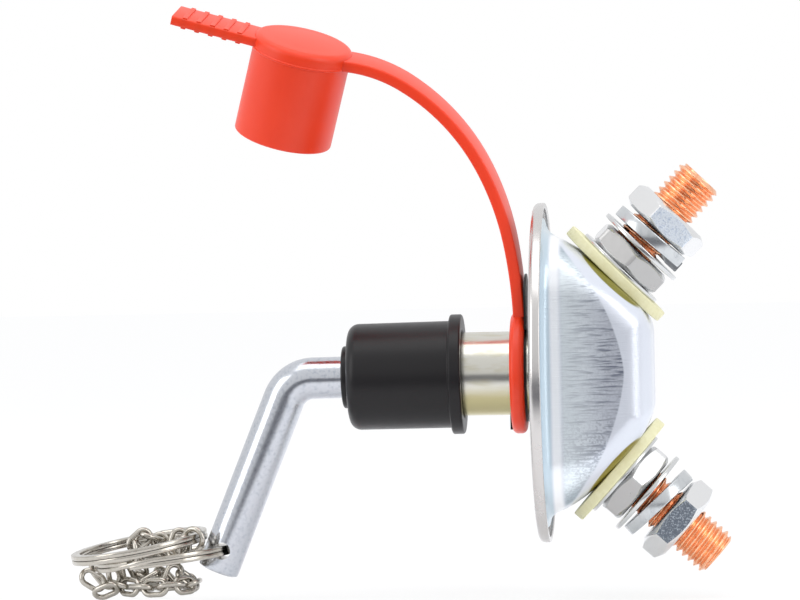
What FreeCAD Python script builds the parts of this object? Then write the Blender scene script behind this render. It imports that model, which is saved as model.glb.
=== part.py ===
import FreeCAD, Part
import math
import os
import Sketcher

doc = FreeCAD.newDocument("battery_isolator")

# Every size in millimetres or degrees.  The origin is the middle of the two screw holes, in the
# middle of the flange sheet; +X runs along the key to the studs and +Z is up.
SIZES = [
    ("dish_sheet", 1.4, "thickness of the pressed front flange"),
    ("dish_front", -1.4, "front face of the flange on the key axis"),
    ("dish_radius", 569.0, "slight doming of the flange"),
    ("dish_rim_gap", 0.5, "play between the housing's brim and the back-turned rim"),
    ("dish_rim_bend", 2.5, "outer bend radius of the rim"),
    ("dish_rim_rear", 2.4, "rear edge of the rim"),
    ("dish_hole", 8.55, "radius of the hole for the key hub"),
    ("screw_hole", 2.75, "radius of the two screw holes"),
    ("screw_side", 27.0, "screw holes from the key axis"),
    ("can_sheet", 1.2, "thickness of the drawn housing"),
    ("brim_beyond", 2.2, "brim of the housing beyond the base of its walls"),
    ("brim_corner", 0.64, "brim left outside the rounded corners"),
    ("can_tall", 29.3, "half height of the housing at its base"),
    ("can_wide", 19.5, "half width of the housing at its base"),
    ("can_draft_tall", 10.5, "draft of the top and bottom walls"),
    ("can_draft_wide", 5.5, "draft of the side walls"),
    ("can_back", 23.7, "rear face of the housing"),
    ("can_shoulder", 5.0, "radius of the housing's shoulders"),
    ("can_foot", 2.4, "hollow bend between brim and walls"),
    ("stud_fore", 8.1, "where the stud axes cross the sloping faces, from the back"),
    ("stud_drop", 10.2, "the same points below the top of the housing's base"),
    ("lean_upper", 45.0, "upper stud from the key axis"),
    ("lean_lower", 41.9, "lower stud from the key axis"),
    ("stud_hole", 6.7, "radius of the stud holes in the housing"),
    ("stud_radius", 4.85, "radius of the studs"),
    ("stud_relief", 0.35, "depth of the thread relief in the outer nuts"),
    ("stud_head", 8.0, "radius of the stud heads inside"),
    ("stud_head_tall", 4.0, "height of the stud heads"),
    ("tip_upper", 27.2, "end of the upper stud above the housing"),
    ("tip_lower", 27.6, "end of the lower stud above the housing"),
    ("bush_beyond", 1.0, "flange of the inner bushes beyond the stud heads"),
    ("bush_flange_tall", 2.0, "flange thickness of the inner bushes"),
    ("bush_tube", 6.6, "tube radius of the bushes"),
    ("bush_bore", 5.1, "bore radius of the bushes"),
    ("bush_up", 1.5, "end of the bush tube above the housing"),
    ("fibre_outer", 12.85, "radius of the fibre washers"),
    ("fibre_tall", 2.2, "thickness of the fibre washers"),
    ("plain_outer", 9.8, "radius of the washers under the jam nuts"),
    ("plain_tall", 0.8, "thickness of those washers"),
    ("washer_bore", 5.25, "bore radius of the steel washers"),
    ("nut_flats", 16.0, "across flats of all nuts"),
    ("nut_bore", 5.0, "bore radius of all nuts"),
    ("jam_tall", 4.7, "height of the jam nuts"),
    ("jam_turn", 6.0, "turn of the jam nuts about the studs"),
    ("thin_gap", 0.4, "play between jam nut and thin washer"),
    ("thin_outer", 9.5, "radius of the washers above the jam nuts"),
    ("thin_tall", 0.9, "thickness of those washers"),
    ("split_outer", 8.45, "outer radius of the spring washers"),
    ("split_bore", 5.45, "bore radius of the spring washers"),
    ("split_tall", 2.4, "height of the spring washer section"),
    ("split_rise", 1.1, "how far the two ends stand apart"),
    ("split_at_upper", 9.4, "lower face of the upper spring washer at its start"),
    ("split_at_lower", 9.95, "lower face of the lower spring washer at its start"),
    ("split_lean_upper", 1.5, "tilt of the upper spring washer"),
    ("split_lean_lower", 3.4, "tilt of the lower spring washer"),
    ("outer_at_upper", 13.2, "lower face of the upper terminal nut"),
    ("outer_at_lower", 14.0, "lower face of the lower terminal nut"),
    ("outer_tall", 5.2, "height of the terminal nuts"),
    ("outer_turn_upper", 13.0, "turn of the upper terminal nut"),
    ("hub_outer", 8.5, "radius of the key hub"),
    ("hub_front", -21.6, "front end of the hub"),
    ("hub_lip", 10.5, "radius of the staked lip behind the flange"),
    ("hub_rear", 1.5, "rear end of the hub"),
    ("hub_bore", 4.55, "bore radius for the key"),
    ("hub_room", 6.7, "radius of the room for the cam"),
    ("hub_room_at", -6.8, "front end of that room"),
    ("hub_slot_out", 6.45, "reach of the two keyways"),
    ("hub_slot_half", 1.8, "half width of the keyways"),
    ("rod_radius", 4.25, "radius of the key rod"),
    ("rod_tip", -1.0, "inner end of the key rod"),
    ("rod_corner", -50.2, "corner of the bent rod on the key axis"),
    ("rod_bend", 6.7, "bend radius of the rod"),
    ("rod_turn", 67.0, "turn of the bent leg"),
    ("rod_leg", 42.3, "length of the leg from the corner"),
    ("rod_eye_at", 37.6, "cross hole from the corner"),
    ("rod_eye", 2.1, "radius of the cross hole"),
    ("pin_at", -5.0, "cross pin along the key axis"),
    ("pin_radius", 1.5, "radius of the cross pin"),
    ("pin_half", 6.1, "half length of the cross pin"),
    ("boot_front", -40.1, "front end of the boot's neck"),
    ("boot_neck", 6.35, "neck radius of the boot"),
    ("boot_step", -38.8, "front face of the boot's body"),
    ("boot_body", 10.85, "radius of the boot"),
    ("boot_round", 3.5, "shoulder radius of the boot"),
    ("boot_skirt_at", -17.3, "front of the boot's skirt"),
    ("boot_skirt", 12.2, "radius of the boot's skirt"),
    ("boot_rear", -14.5, "rear end of the boot"),
    ("boot_inside", 9.0, "inside radius of the boot"),
    ("boot_inside_at", -23.6, "front end of the boot's inside"),
    ("boot_bore", 4.33, "bore radius of the boot"),
    ("cam_outer", 6.4, "radius of the cam"),
    ("cam_inner", 4.6, "inside radius of the cam"),
    ("cam_play", 0.45, "play between the cross pin and the cam"),
    ("cam_rise", 3.0, "rise of the cam over a quarter turn"),
    ("cam_floor", -0.55, "bottom of the cam's bore"),
    ("cam_flange_at", 6.2, "front face of the cam's flange"),
    ("cam_flange", 8.0, "radius of the cam's flange"),
    ("cam_flange_tall", 2.0, "thickness of the cam's flange"),
    ("stem_radius", 3.0, "radius of the cam's stem"),
    ("stem_end", 12.0, "rear end of the stem"),
    ("bridge_thick", 1.6, "thickness of the contact bridge"),
    ("bridge_wide", 12.0, "width of the contact bridge"),
    ("bridge_gap", 2.32, "open gap between bridge and stud heads"),
    ("bridge_end", 2.6, "ends of the contact bridge"),
    ("seat_radius", 7.5, "radius of the spring seat"),
    ("seat_thick", 1.0, "thickness of the spring seat"),
    ("coil_wire", 1.3, "wire of the return spring"),
    ("coil_outer", 6.5, "outer radius of the return spring"),
    ("coil_turns", 3.5, "turns of the return spring"),
    ("disc_play", 0.5, "play between the insulating disc and the housing's bend"),
    ("disc_thick", 1.0, "thickness of the insulating disc"),
    ("loop_outer", 12.3, "outer radius of the cap's ring"),
    ("loop_bore", 10.0, "bore radius of the cap's ring"),
    ("loop_front", -5.0, "front face of the cap's ring"),
    ("loop_rear", -2.1, "rear face of the cap's ring"),
    ("loop_round", 1.1, "edge radius of the cap's ring"),
    ("strap_thick", 2.3, "thickness of the strap"),
    ("strap_wide", 8.8, "width of the strap"),
    ("strap_off", 0.3, "strap behind the middle of the ring"),
    ("strap_start", 91.0, "direction of the strap at the ring"),
    ("strap_long_a", 15.5, "first length of the strap"),
    ("strap_turn_a", 9.4, "its turn"),
    ("strap_long_b", 16.0, "second length of the strap"),
    ("strap_turn_b", 16.0, "its turn"),
    ("strap_long_c", 24.0, "third length of the strap"),
    ("strap_turn_c", 30.6, "its turn"),
    ("strap_long_d", 12.0, "last length of the strap"),
    ("strap_turn_d", 23.0, "its turn"),
    ("strap_twist", 16.5, "twist of the strap from the ring to the cup"),
    ("cup_lean", 13.96, "tilt of the cap's cup"),
    ("cup_outer", 10.1, "outer radius of the cup"),
    ("cup_inner", 8.5, "inner radius of the cup"),
    ("cup_deep", 16.9, "height of the cup under its lid"),
    ("lid_radius", 10.25, "radius of the lid"),
    ("lid_thick", 2.3, "thickness of the lid at its edge"),
    ("lid_dome", 0.5, "doming of the lid"),
    ("lid_round", 1.0, "edge radius of the lid"),
    ("tab_long", 16.8, "length of the pull tab"),
    ("tab_wide", 9.4, "width of the pull tab"),
    ("tab_thick", 1.9, "thickness of the pull tab"),
    ("tab_rib", 0.28, "height of its ribs"),
    ("tab_pitch", 2.9, "spacing of its ribs"),
    ("liner_inner", 8.58, "inner radius of the rubber liner"),
    ("liner_gap", 0.1, "play between liner and ring"),
    ("liner_rear", -1.65, "rear face of the liner"),
    ("liner_thin", 0.4, "thickness of the liner's tongue"),
    ("liner_top", 20.2, "top of the liner's tongue"),
    ("liner_half", 7.0, "half width of the tongue"),
    ("liner_tab", 0.6, "thickness of the liner's front tab"),
    ("liner_tab_out", 11.5, "reach of the front tab"),
    ("liner_tab_turn", 70.0, "angle covered by the front tab"),
    ("ring_outer", 14.0, "outer radius of the split rings"),
    ("ring_wire", 1.9, "width of the split rings' wire"),
    ("ring_tall", 2.05, "height of the two turns together"),
    ("ring_groove", 0.25, "groove between the two turns"),
    ("ring_lean", 6.4, "slope of the first ring"),
    ("ring_tip", -1.0, "its tilt about its slope"),
    ("free_lean", 9.0, "slope of the second ring"),
    ("free_tip", 3.0, "its tilt about its slope"),
    ("free_shift", -4.7, "second ring from the first along X"),
    ("free_rise", 2.6, "second ring from the first upward"),
    ("link_long", 6.0, "outer length of a chain link"),
    ("link_wide", 4.0, "outer width of a chain link"),
    ("link_wire", 1.0, "wire of a chain link"),
    ("hook_long", 8.0, "outer length of the two end links"),
    ("hook_wide", 5.2, "outer width of the two end links"),
    ("link_count", 18, "number of links between the end links"),
]

sheet = doc.addObject("Spreadsheet::Sheet", "Sizes")
for line, (name, value, note) in enumerate(SIZES, 1):
    sheet.set(f"A{line}", name)
    sheet.set(f"B{line}", str(value))
    sheet.set(f"C{line}", note)
    sheet.setAlias(f"B{line}", name)
doc.recompute()


class Term:
    """A number of the model together with the formula that binds it to the sheet."""

    def __init__(self, text, value):
        self.text = text
        self.value = float(value)

    def __add__(self, other):
        other = term(other)
        return Term(f"({self.text} + {other.text})", self.value + other.value)

    def __radd__(self, other):
        return term(other) + self

    def __sub__(self, other):
        other = term(other)
        return Term(f"({self.text} - {other.text})", self.value - other.value)

    def __rsub__(self, other):
        return term(other) - self

    def __mul__(self, other):
        other = term(other)
        return Term(f"({self.text} * {other.text})", self.value * other.value)

    def __rmul__(self, other):
        return term(other) * self

    def __truediv__(self, other):
        other = term(other)
        return Term(f"({self.text} / {other.text})", self.value / other.value)

    def __rtruediv__(self, other):
        return term(other) / self

    def __neg__(self):
        return Term(f"(0 - {self.text})", -self.value)


def term(number):
    if isinstance(number, Term):
        return number
    return Term(f"({float(number):.6f})", number)


def sine(angle):
    angle = term(angle)
    return Term(f"sin({angle.text})", math.sin(math.radians(angle.value)))


def cosine(angle):
    angle = term(angle)
    return Term(f"cos({angle.text})", math.cos(math.radians(angle.value)))


def tangent(angle):
    return sine(angle) / cosine(angle)


def root(number):
    number = term(number)
    return Term(f"sqrt({number.text})", math.sqrt(number.value))


class Book:
    pass


size = Book()
for name, value, note in SIZES:
    setattr(size, name, Term(f"Sizes.{name}", value))


def bind(item, setting, number):
    item.setExpression(setting, term(number).text)


def new_body(label):
    return doc.addObject("PartDesign::Body", label)


def put_sketch(body, role, name, lift=0.0, shift=None, turn=None):
    """An empty sketch on one origin plane of its body."""
    sketch = body.newObject("Sketcher::SketchObject", name)
    plane = [item for item in body.Origin.OriginFeatures if item.Role == role][0]
    sketch.AttachmentSupport = [(plane, "")]
    sketch.MapMode = "FlatFace"
    if turn is not None:
        spin = FreeCAD.Rotation(FreeCAD.Vector(0, 0, 1), 1)
        sketch.AttachmentOffset = FreeCAD.Placement(FreeCAD.Vector(0, 0, 0), spin)
        bind(sketch, "AttachmentOffset.Rotation.Angle", turn)
    if shift is not None:
        bind(sketch, "AttachmentOffset.Base.x", shift[0])
        bind(sketch, "AttachmentOffset.Base.y", shift[1])
    bind(sketch, "AttachmentOffset.Base.z", lift)
    return sketch


def hold(sketch, index, end, spot):
    """Hold one point of a sketch from the origin by two lengths."""
    for kind, axis, number in (("DistanceX", -2, spot[0]), ("DistanceY", -1, spot[1])):
        number = term(number)
        if abs(number.value) < 1e-9:
            sketch.addConstraint(Sketcher.Constraint("PointOnObject", index, end, axis))
            continue
        at = sketch.addConstraint(Sketcher.Constraint(kind, -1, 1, index, end, number.value))
        if "Sizes" in number.text:
            bind(sketch, f"Constraints[{at}]", number)


def outline(body, role, name, corners, bows=None, **where):
    """A closed outline; bows gives the radius of a bent side and the side of its centre."""
    sketch = put_sketch(body, role, name, **where)
    bows = bows or {}
    count = len(corners)
    spots = [FreeCAD.Vector(term(x).value, term(y).value, 0) for x, y in corners]
    ends = []
    for index in range(count):
        here = spots[index]
        there = spots[(index + 1) % count]
        if index not in bows:
            sketch.addGeometry(Part.LineSegment(here, there), False)
            ends.append((1, 2))
            continue
        radius, side = bows[index]
        way = there - here
        half = way.Length / 2
        reach = half if radius is None else term(radius).value
        left = FreeCAD.Vector(-way.y, way.x, 0).normalize()
        away = math.sqrt(max(reach * reach - half * half, 0.0))
        centre = here + way * 0.5 + left * (side * away)
        first, last = (here, there) if side > 0 else (there, here)
        from_angle = math.atan2(first.y - centre.y, first.x - centre.x)
        to_angle = math.atan2(last.y - centre.y, last.x - centre.x)
        ring = Part.Circle(centre, FreeCAD.Vector(0, 0, 1), reach)
        sketch.addGeometry(Part.ArcOfCircle(ring, from_angle, to_angle), False)
        ends.append((1, 2) if side > 0 else (2, 1))
    for index in range(count):
        after = (index + 1) % count
        join = Sketcher.Constraint("Coincident", index, ends[index][1], after, ends[after][0])
        sketch.addConstraint(join)
    for index in range(count):
        hold(sketch, index, ends[index][0], corners[index])
    for index, (radius, side) in bows.items():
        here = corners[index]
        there = corners[(index + 1) % count]
        if radius is None:
            level = (term(here[1]) + there[1]) / 2
            at = sketch.addConstraint(
                Sketcher.Constraint("DistanceY", -1, 1, index, 3, level.value))
            bind(sketch, f"Constraints[{at}]", level)
            continue
        at = sketch.addConstraint(Sketcher.Constraint("Radius", index, term(radius).value))
        if "Sizes" in term(radius).text:
            bind(sketch, f"Constraints[{at}]", radius)
    return sketch


def circle(body, role, name, spot, radius, **where):
    sketch = put_sketch(body, role, name, **where)
    centre = FreeCAD.Vector(term(spot[0]).value, term(spot[1]).value, 0)
    reach = term(radius)
    sketch.addGeometry(Part.Circle(centre, FreeCAD.Vector(0, 0, 1), reach.value), False)
    hold(sketch, 0, 3, spot)
    at = sketch.addConstraint(Sketcher.Constraint("Radius", 0, reach.value))
    if "Sizes" in reach.text:
        bind(sketch, f"Constraints[{at}]", reach)
    return sketch


def turned(body, sketch, name, axis="H_Axis", kind="Revolution", angle=360.0, back=False):
    feature = body.newObject(f"PartDesign::{kind}", name)
    feature.Profile = sketch
    feature.ReferenceAxis = (sketch, [axis])
    feature.Reversed = back
    bind(feature, "Angle", angle)
    return feature


def pushed(body, sketch, name, length, kind="Pad", both=False, back=False):
    feature = body.newObject(f"PartDesign::{kind}", name)
    feature.Profile = sketch
    if both:
        feature.SideType = "Symmetric"
    feature.Reversed = back
    bind(feature, "Length", length)
    return feature


def dish(radius):
    """Front face of the flange at a radius."""
    radius = term(radius)
    return size.dish_front + radius * radius / (2 * size.dish_radius)


# Sizes that follow from others: the rim clears the brim, the brim clears the walls, and the
# studs keep their place on the sloping faces
can_brim = size.can_tall + size.brim_beyond
dish_rim_at = can_brim + size.dish_rim_gap
stud_x = size.can_back - size.stud_fore
stud_z = size.can_tall - size.stud_drop
brim_free = can_brim - size.brim_corner
corner_sum = size.can_wide + size.can_tall - brim_free
corner_rest = (size.can_wide * size.can_wide + size.can_tall * size.can_tall
               - brim_free * brim_free)
can_corner = corner_sum - root(corner_sum * corner_sum - corner_rest)
bush_flange = size.stud_head + size.bush_beyond
ring_inner = size.ring_outer - size.ring_wire


# Mounting flange: a round sheet pressed to a very slight dome, its rim turned back
flange = new_body("mount_flange")
rim_lean = dish_rim_at / size.dish_radius
rim_x = dish(dish_rim_at) + size.dish_rim_bend
rim_in = size.dish_rim_bend - size.dish_sheet
rim_out_at = dish_rim_at + size.dish_rim_bend * rim_lean
rim_in_at = dish_rim_at + rim_in * rim_lean
sketch = outline(flange, "XZ_Plane", "flange_outline", [
    (dish(size.dish_hole), size.dish_hole),
    (dish(rim_out_at), rim_out_at),
    (rim_x, dish_rim_at + size.dish_rim_bend),
    (size.dish_rim_rear, dish_rim_at + size.dish_rim_bend),
    (size.dish_rim_rear, dish_rim_at + rim_in),
    (rim_x, dish_rim_at + rim_in),
    (dish(rim_in_at) + size.dish_sheet, rim_in_at),
    (dish(size.dish_hole) + size.dish_sheet, size.dish_hole),
], {
    0: (size.dish_radius, -1),
    1: (size.dish_rim_bend, -1),
    5: (rim_in, 1),
    6: (size.dish_radius, 1),
})
turned(flange, sketch, "flange_turn")
for mark, sign in (("near", -1), ("far", 1)):
    sketch = circle(flange, "YZ_Plane", f"flange_screw_{mark}_circle",
                    (sign * size.screw_side, 0), size.screw_hole, lift=-10)
    pushed(flange, sketch, f"flange_screw_{mark}", 20, "Pocket", back=True)


# Drawn housing: brim, drafted walls, two sloping faces and a flat back
def can_shape(label, inset):
    """The drawn form as one solid, inset by the sheet for its inside."""
    body = new_body(label)
    for_x = size.can_back + 3
    names = []
    for mark, at in (("base", term(-4.0)), ("rear", for_x)):
        tall = size.can_tall - inset - (at - 1.4) * tangent(size.can_draft_tall)
        wide = size.can_wide - inset - (at - 1.4) * tangent(size.can_draft_wide)
        bend = can_corner - inset
        sketch = outline(body, "YZ_Plane", f"{label}_{mark}", [
            (bend - wide, -tall), (wide - bend, -tall), (wide, bend - tall), (wide, tall - bend),
            (wide - bend, tall), (bend - wide, tall), (-wide, tall - bend), (-wide, bend - tall),
        ], {1: (bend, 1), 3: (bend, 1), 5: (bend, 1), 7: (bend, 1)}, lift=at)
        names.append(sketch)
    loft = body.newObject("PartDesign::AdditiveLoft", f"{label}_loft")
    loft.Profile = names[0]
    loft.Sections = [names[1]]
    loft.Ruled = True
    back = size.can_back - inset
    lines = []
    for sign, lean in ((1, size.lean_upper), (-1, size.lean_lower)):
        foot_x = stud_x - inset * cosine(lean)
        foot_z = stud_z - inset * sine(lean)
        at_back = foot_z - (back - foot_x) / tangent(lean)
        at_top = foot_x - (45 - foot_z) * tangent(lean)
        lines.append((sign * at_back, at_top, sign * 45))
    sketch = outline(body, "XZ_Plane", f"{label}_slopes", [
        (lines[0][1], lines[0][2]), (back, lines[0][0]), (back, lines[1][0]),
        (lines[1][1], lines[1][2]), (60, lines[1][2]), (60, lines[0][2]),
    ])
    pushed(body, sketch, f"{label}_cut", 90, "Pocket", both=True)
    doc.recompute()
    shape = body.Shape
    picked = []
    for index, edge in enumerate(shape.Edges, 1):
        middle = edge.CenterOfMass
        faces = shape.ancestorsOfType(edge, Part.Face)
        flat = [face for face in faces if face.Surface.TypeId == "Part::GeomPlane"]
        sloped = [face for face in flat if face.normalAt(0, 0).x > 0.5]
        if sloped and middle.x > -3:
            picked.append(f"Edge{index}")
    fillet = body.newObject("PartDesign::Fillet", f"{label}_shoulders")
    fillet.Base = (body.Tip if body.Tip.Name != fillet.Name else pocket_of(body), picked)
    bind(fillet, "Radius", size.can_shoulder - inset)
    doc.recompute()
    return body


def pocket_of(body):
    return [item for item in body.Group if item.TypeId == "PartDesign::Pocket"][-1]


outer_can = can_shape("can_outside", term(0.0))
inner_can = can_shape("can_inside", size.can_sheet)
brim = new_body("can_brim_sheet")
seat_x = size.dish_sheet + 0.02
sketch = outline(brim, "XZ_Plane", "brim_outline", [
    (dish(12) + seat_x, 12),
    (dish(can_brim) + seat_x, can_brim),
    (dish(can_brim) + seat_x + size.can_sheet, can_brim),
    (dish(12) + seat_x + size.can_sheet, 12),
], {0: (size.dish_radius, -1), 2: (size.dish_radius, 1)})
turned(brim, sketch, "brim_turn")
skirt = new_body("can_front_cut")
sketch = outline(skirt, "XZ_Plane", "front_outline", [
    (-8, 0), (dish(0) + seat_x, 0), (dish(45) + seat_x, 45), (-8, 45),
], {1: (size.dish_radius, -1)})
turned(skirt, sketch, "front_turn")
walls = doc.addObject("Part::Cut", "can_walls")
walls.Base = outer_can
walls.Tool = skirt
joined = doc.addObject("Part::Fuse", "can_joined")
joined.Base = walls
joined.Tool = brim
doc.recompute()
foot_from = (dish(size.can_wide) + seat_x + size.can_sheet).value - 0.3
foot_to = (dish(can_brim) + seat_x + size.can_sheet).value + 0.3
foot_edges = []
for index, edge in enumerate(joined.Shape.Edges, 1):
    box = edge.BoundBox
    reach = max(abs(box.YMin), abs(box.YMax), abs(box.ZMin), abs(box.ZMax))
    level = foot_from < box.XMin and box.XMax < foot_to
    if level and reach < can_brim.value - 1.6 and box.DiagonalLength > 3:
        foot_edges.append(index)
rounded = doc.addObject("Part::Fillet", "can_rounded")
rounded.Base = joined
rounded.Edges = [(index, size.can_foot.value, size.can_foot.value) for index in foot_edges]
doc.recompute()
hollow = doc.addObject("Part::Cut", "can_hollow")
if rounded.Shape.isNull() or not rounded.Shape.isValid():
    print("housing foot left sharp")
    hollow.Base = joined
else:
    hollow.Base = rounded
hollow.Tool = inner_can
drills = []
for mark, sign in (("near", -1), ("far", 1)):
    drill = doc.addObject("Part::Cylinder", f"can_screw_{mark}")
    drill.Placement = FreeCAD.Placement(FreeCAD.Vector(0, 0, 0),
                                        FreeCAD.Rotation(FreeCAD.Vector(0, 1, 0), 90))
    bind(drill, "Placement.Base.y", sign * size.screw_side)
    bind(drill, "Placement.Base.x", -5)
    bind(drill, "Radius", size.screw_hole)
    bind(drill, "Height", 12)
    drills.append(drill)

# The two stud axes, each with its own lean
SIDES = {
    "upper": (stud_z, 90 - size.lean_upper, size.tip_upper, size.outer_at_upper),
    "lower": (-stud_z, 90 + size.lean_lower, size.tip_lower, size.outer_at_lower),
}


def along_stud(item, mark, extra=None):
    """Stand a piece on its stud axis, with its own Z running outward."""
    height, lean, tip, nut = SIDES[mark]
    item.Placement = FreeCAD.Placement(FreeCAD.Vector(0, 0, 0),
                                       FreeCAD.Rotation(FreeCAD.Vector(0, 1, 0), 1))
    bind(item, "Placement.Base.x", stud_x)
    bind(item, "Placement.Base.z", height)
    bind(item, "Placement.Rotation.Angle", lean if extra is None else lean + extra)


for mark in SIDES:
    drill = doc.addObject("Part::Cylinder", f"can_stud_{mark}")
    bind(drill, "Radius", size.stud_hole)
    bind(drill, "Height", 8)
    along_stud(drill, mark)
    shift = 4
    height, lean, tip, nut = SIDES[mark]
    bind(drill, "Placement.Base.x", stud_x - shift * sine(lean))
    bind(drill, "Placement.Base.z", height - shift * cosine(lean))
    drills.append(drill)
drilled = doc.addObject("Part::MultiFuse", "can_drills")
drilled.Shapes = drills
housing = doc.addObject("Part::Cut", "rear_housing")
housing.Base = hollow
housing.Tool = drilled


# Pieces threaded over each stud, from the inside outward
def turned_stack(label, mark, corners, bows=None):
    body = new_body(label)
    sketch = outline(body, "XZ_Plane", f"{label}_outline", corners, bows)
    turned(body, sketch, f"{label}_turn", "V_Axis")
    along_stud(body, mark)
    return body


def washer(label, mark, inner, outer, start, thick):
    """A flat washer with slightly broken edges."""
    ease = 0.12
    return turned_stack(label, mark, [
        (inner, start), (outer - ease, start), (outer, start + ease),
        (outer, start + thick - ease), (outer - ease, start + thick), (inner, start + thick),
    ])


def hex_nut(label, mark, start, tall, turn):
    """A hexagon nut with both faces bevelled at the corners."""
    body = new_body(label)
    reach = size.nut_flats / 2 / cosine(30)
    corners = [(reach * cosine(turn + 60 * k), reach * sine(turn + 60 * k)) for k in range(6)]
    sketch = outline(body, "XY_Plane", f"{label}_hexagon", corners, lift=start)
    pushed(body, sketch, f"{label}_prism", tall)
    sketch = circle(body, "XY_Plane", f"{label}_circle", (0, 0), size.nut_bore, lift=start - 1)
    pushed(body, sketch, f"{label}_bore", tall + 2, "Pocket", back=True)
    flat = size.nut_flats / 2 - 0.15
    fall = (reach - flat) * tangent(30) + 0.5 * tangent(30)
    for end, at, way in (("foot", start, 1), ("top", start + tall, -1)):
        sketch = outline(body, "XZ_Plane", f"{label}_{end}_bevel", [
            (flat, at), (reach + 0.5, at + way * fall), (reach + 0.5, at - way * 0.5),
            (flat, at - way * 0.5),
        ])
        turned(body, sketch, f"{label}_{end}_groove", "V_Axis", "Groove")
    along_stud(body, mark)
    return body


fibre_top = size.fibre_tall
plain_top = fibre_top + size.plain_tall
jam_top = plain_top + size.jam_tall
thin_at = jam_top + size.thin_gap
bush_at = -(size.can_sheet + size.bush_flange_tall)
head_at = bush_at - size.stud_head_tall
for mark in SIDES:
    height, lean, tip, nut_at = SIDES[mark]
    nut_top = nut_at + size.outer_tall
    turned_stack(f"terminal_stud_{mark}", mark, [
        (0, head_at), (size.stud_head, head_at), (size.stud_head, bush_at),
        (size.stud_radius, bush_at), (size.stud_radius, nut_top - 0.8),
        (size.stud_radius - size.stud_relief, nut_top - 0.8),
        (size.stud_radius - size.stud_relief, nut_top + 0.3),
        (size.stud_radius, nut_top + 0.3), (size.stud_radius, tip - 0.8),
        (size.stud_radius - 0.9, tip), (0, tip),
    ])
    turned_stack(f"stud_bush_{mark}", mark, [
        (size.bush_bore, bush_at), (bush_flange, bush_at), (bush_flange, -size.can_sheet),
        (size.bush_tube, -size.can_sheet), (size.bush_tube, size.bush_up),
        (size.bush_bore, size.bush_up),
    ])
    washer(f"fibre_washer_{mark}", mark, size.stud_hole, size.fibre_outer, term(0.0),
           size.fibre_tall)
    washer(f"plain_washer_{mark}", mark, size.washer_bore, size.plain_outer, fibre_top,
           size.plain_tall)
    jam_turn = 30 + size.jam_turn if mark == "upper" else 30 - size.jam_turn
    hex_nut(f"jam_nut_{mark}", mark, plain_top, size.jam_tall, jam_turn)
    washer(f"thin_washer_{mark}", mark, size.washer_bore, size.thin_outer, thin_at,
           size.thin_tall)
    outer_turn = size.outer_turn_upper if mark == "upper" else term(0.0)
    hex_nut(f"terminal_nut_{mark}", mark, nut_at, size.outer_tall, outer_turn)
    # Split spring washer, its two ends standing apart
    body = new_body(f"spring_washer_{mark}")
    at = size.split_at_upper if mark == "upper" else size.split_at_lower
    way = 1 if mark == "upper" else -1
    sketch = outline(body, "XZ_Plane", f"split_{mark}_outline", [
        (way * size.split_bore, at), (way * size.split_outer, at),
        (way * size.split_outer, at + size.split_tall),
        (way * size.split_bore, at + size.split_tall),
    ])
    helix = body.newObject("PartDesign::AdditiveHelix", f"split_{mark}_turn")
    helix.Profile = sketch
    helix.ReferenceAxis = (sketch, ["V_Axis"])
    helix.Mode = "pitch-height-angle"
    bind(helix, "Pitch", size.split_rise * 360 / 346)
    bind(helix, "Height", size.split_rise)
    tilt = -size.split_lean_upper if mark == "upper" else size.split_lean_lower
    along_stud(body, mark, tilt)
    mid = at + (size.split_tall + size.split_rise) / 2
    bind(body, "Placement.Base.x", stud_x + mid * (sine(lean) - sine(lean + tilt)))
    bind(body, "Placement.Base.z", height + mid * (cosine(lean) - cosine(lean + tilt)))

# Key hub: a turned tube staked behind the flange, slotted inside for the key's cross pin
hub = new_body("key_hub")
sketch = outline(hub, "XZ_Plane", "hub_outline", [
    (size.hub_front, size.hub_bore + 0.5), (size.hub_front, size.hub_outer - 0.5),
    (size.hub_front + 0.5, size.hub_outer), (0.12, size.hub_outer), (0.12, size.hub_lip),
    (size.hub_rear - 0.4, size.hub_lip), (size.hub_rear, size.hub_lip - 0.4),
    (size.hub_rear, size.hub_room), (size.hub_room_at, size.hub_room),
    (size.hub_room_at, size.hub_bore), (size.hub_front + 0.5, size.hub_bore),
])
turned(hub, sketch, "hub_turn")
sketch = outline(hub, "YZ_Plane", "hub_slot_outline", [
    (-size.hub_slot_out, -size.hub_slot_half), (size.hub_slot_out, -size.hub_slot_half),
    (size.hub_slot_out, size.hub_slot_half), (-size.hub_slot_out, size.hub_slot_half),
], lift=size.hub_front - 1)
pushed(hub, sketch, "hub_slots", size.hub_room_at - size.hub_front + 1.5, "Pocket", back=True)

# Key rod: one round bar, bent, with a cross hole for the ring and another for the pin
rod = new_body("key_rod")
draw = tangent(size.rod_turn / 2) * size.rod_bend
leg_x = -cosine(size.rod_turn)
leg_z = -sine(size.rod_turn)
path = put_sketch(rod, "XZ_Plane", "rod_path")
knots = [
    (size.rod_tip, term(0.0)),
    (size.rod_corner + draw, term(0.0)),
    (size.rod_corner + draw * leg_x, draw * leg_z),
    (size.rod_corner + size.rod_leg * leg_x, size.rod_leg * leg_z),
]
spots = [FreeCAD.Vector(x.value, z.value, 0) for x, z in knots]
path.addGeometry(Part.LineSegment(spots[0], spots[1]), False)
hub_point = FreeCAD.Vector(spots[1].x, -size.rod_bend.value, 0)
from_angle = math.radians(90)
to_angle = math.radians(90 + size.rod_turn.value)
bend = Part.Circle(hub_point, FreeCAD.Vector(0, 0, 1), size.rod_bend.value)
path.addGeometry(Part.ArcOfCircle(bend, from_angle, to_angle), False)
path.addGeometry(Part.LineSegment(spots[2], spots[3]), False)
path.addConstraint(Sketcher.Constraint("Coincident", 0, 2, 1, 1))
path.addConstraint(Sketcher.Constraint("Coincident", 1, 2, 2, 1))
hold(path, 0, 1, knots[0])
hold(path, 1, 1, knots[1])
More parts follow.
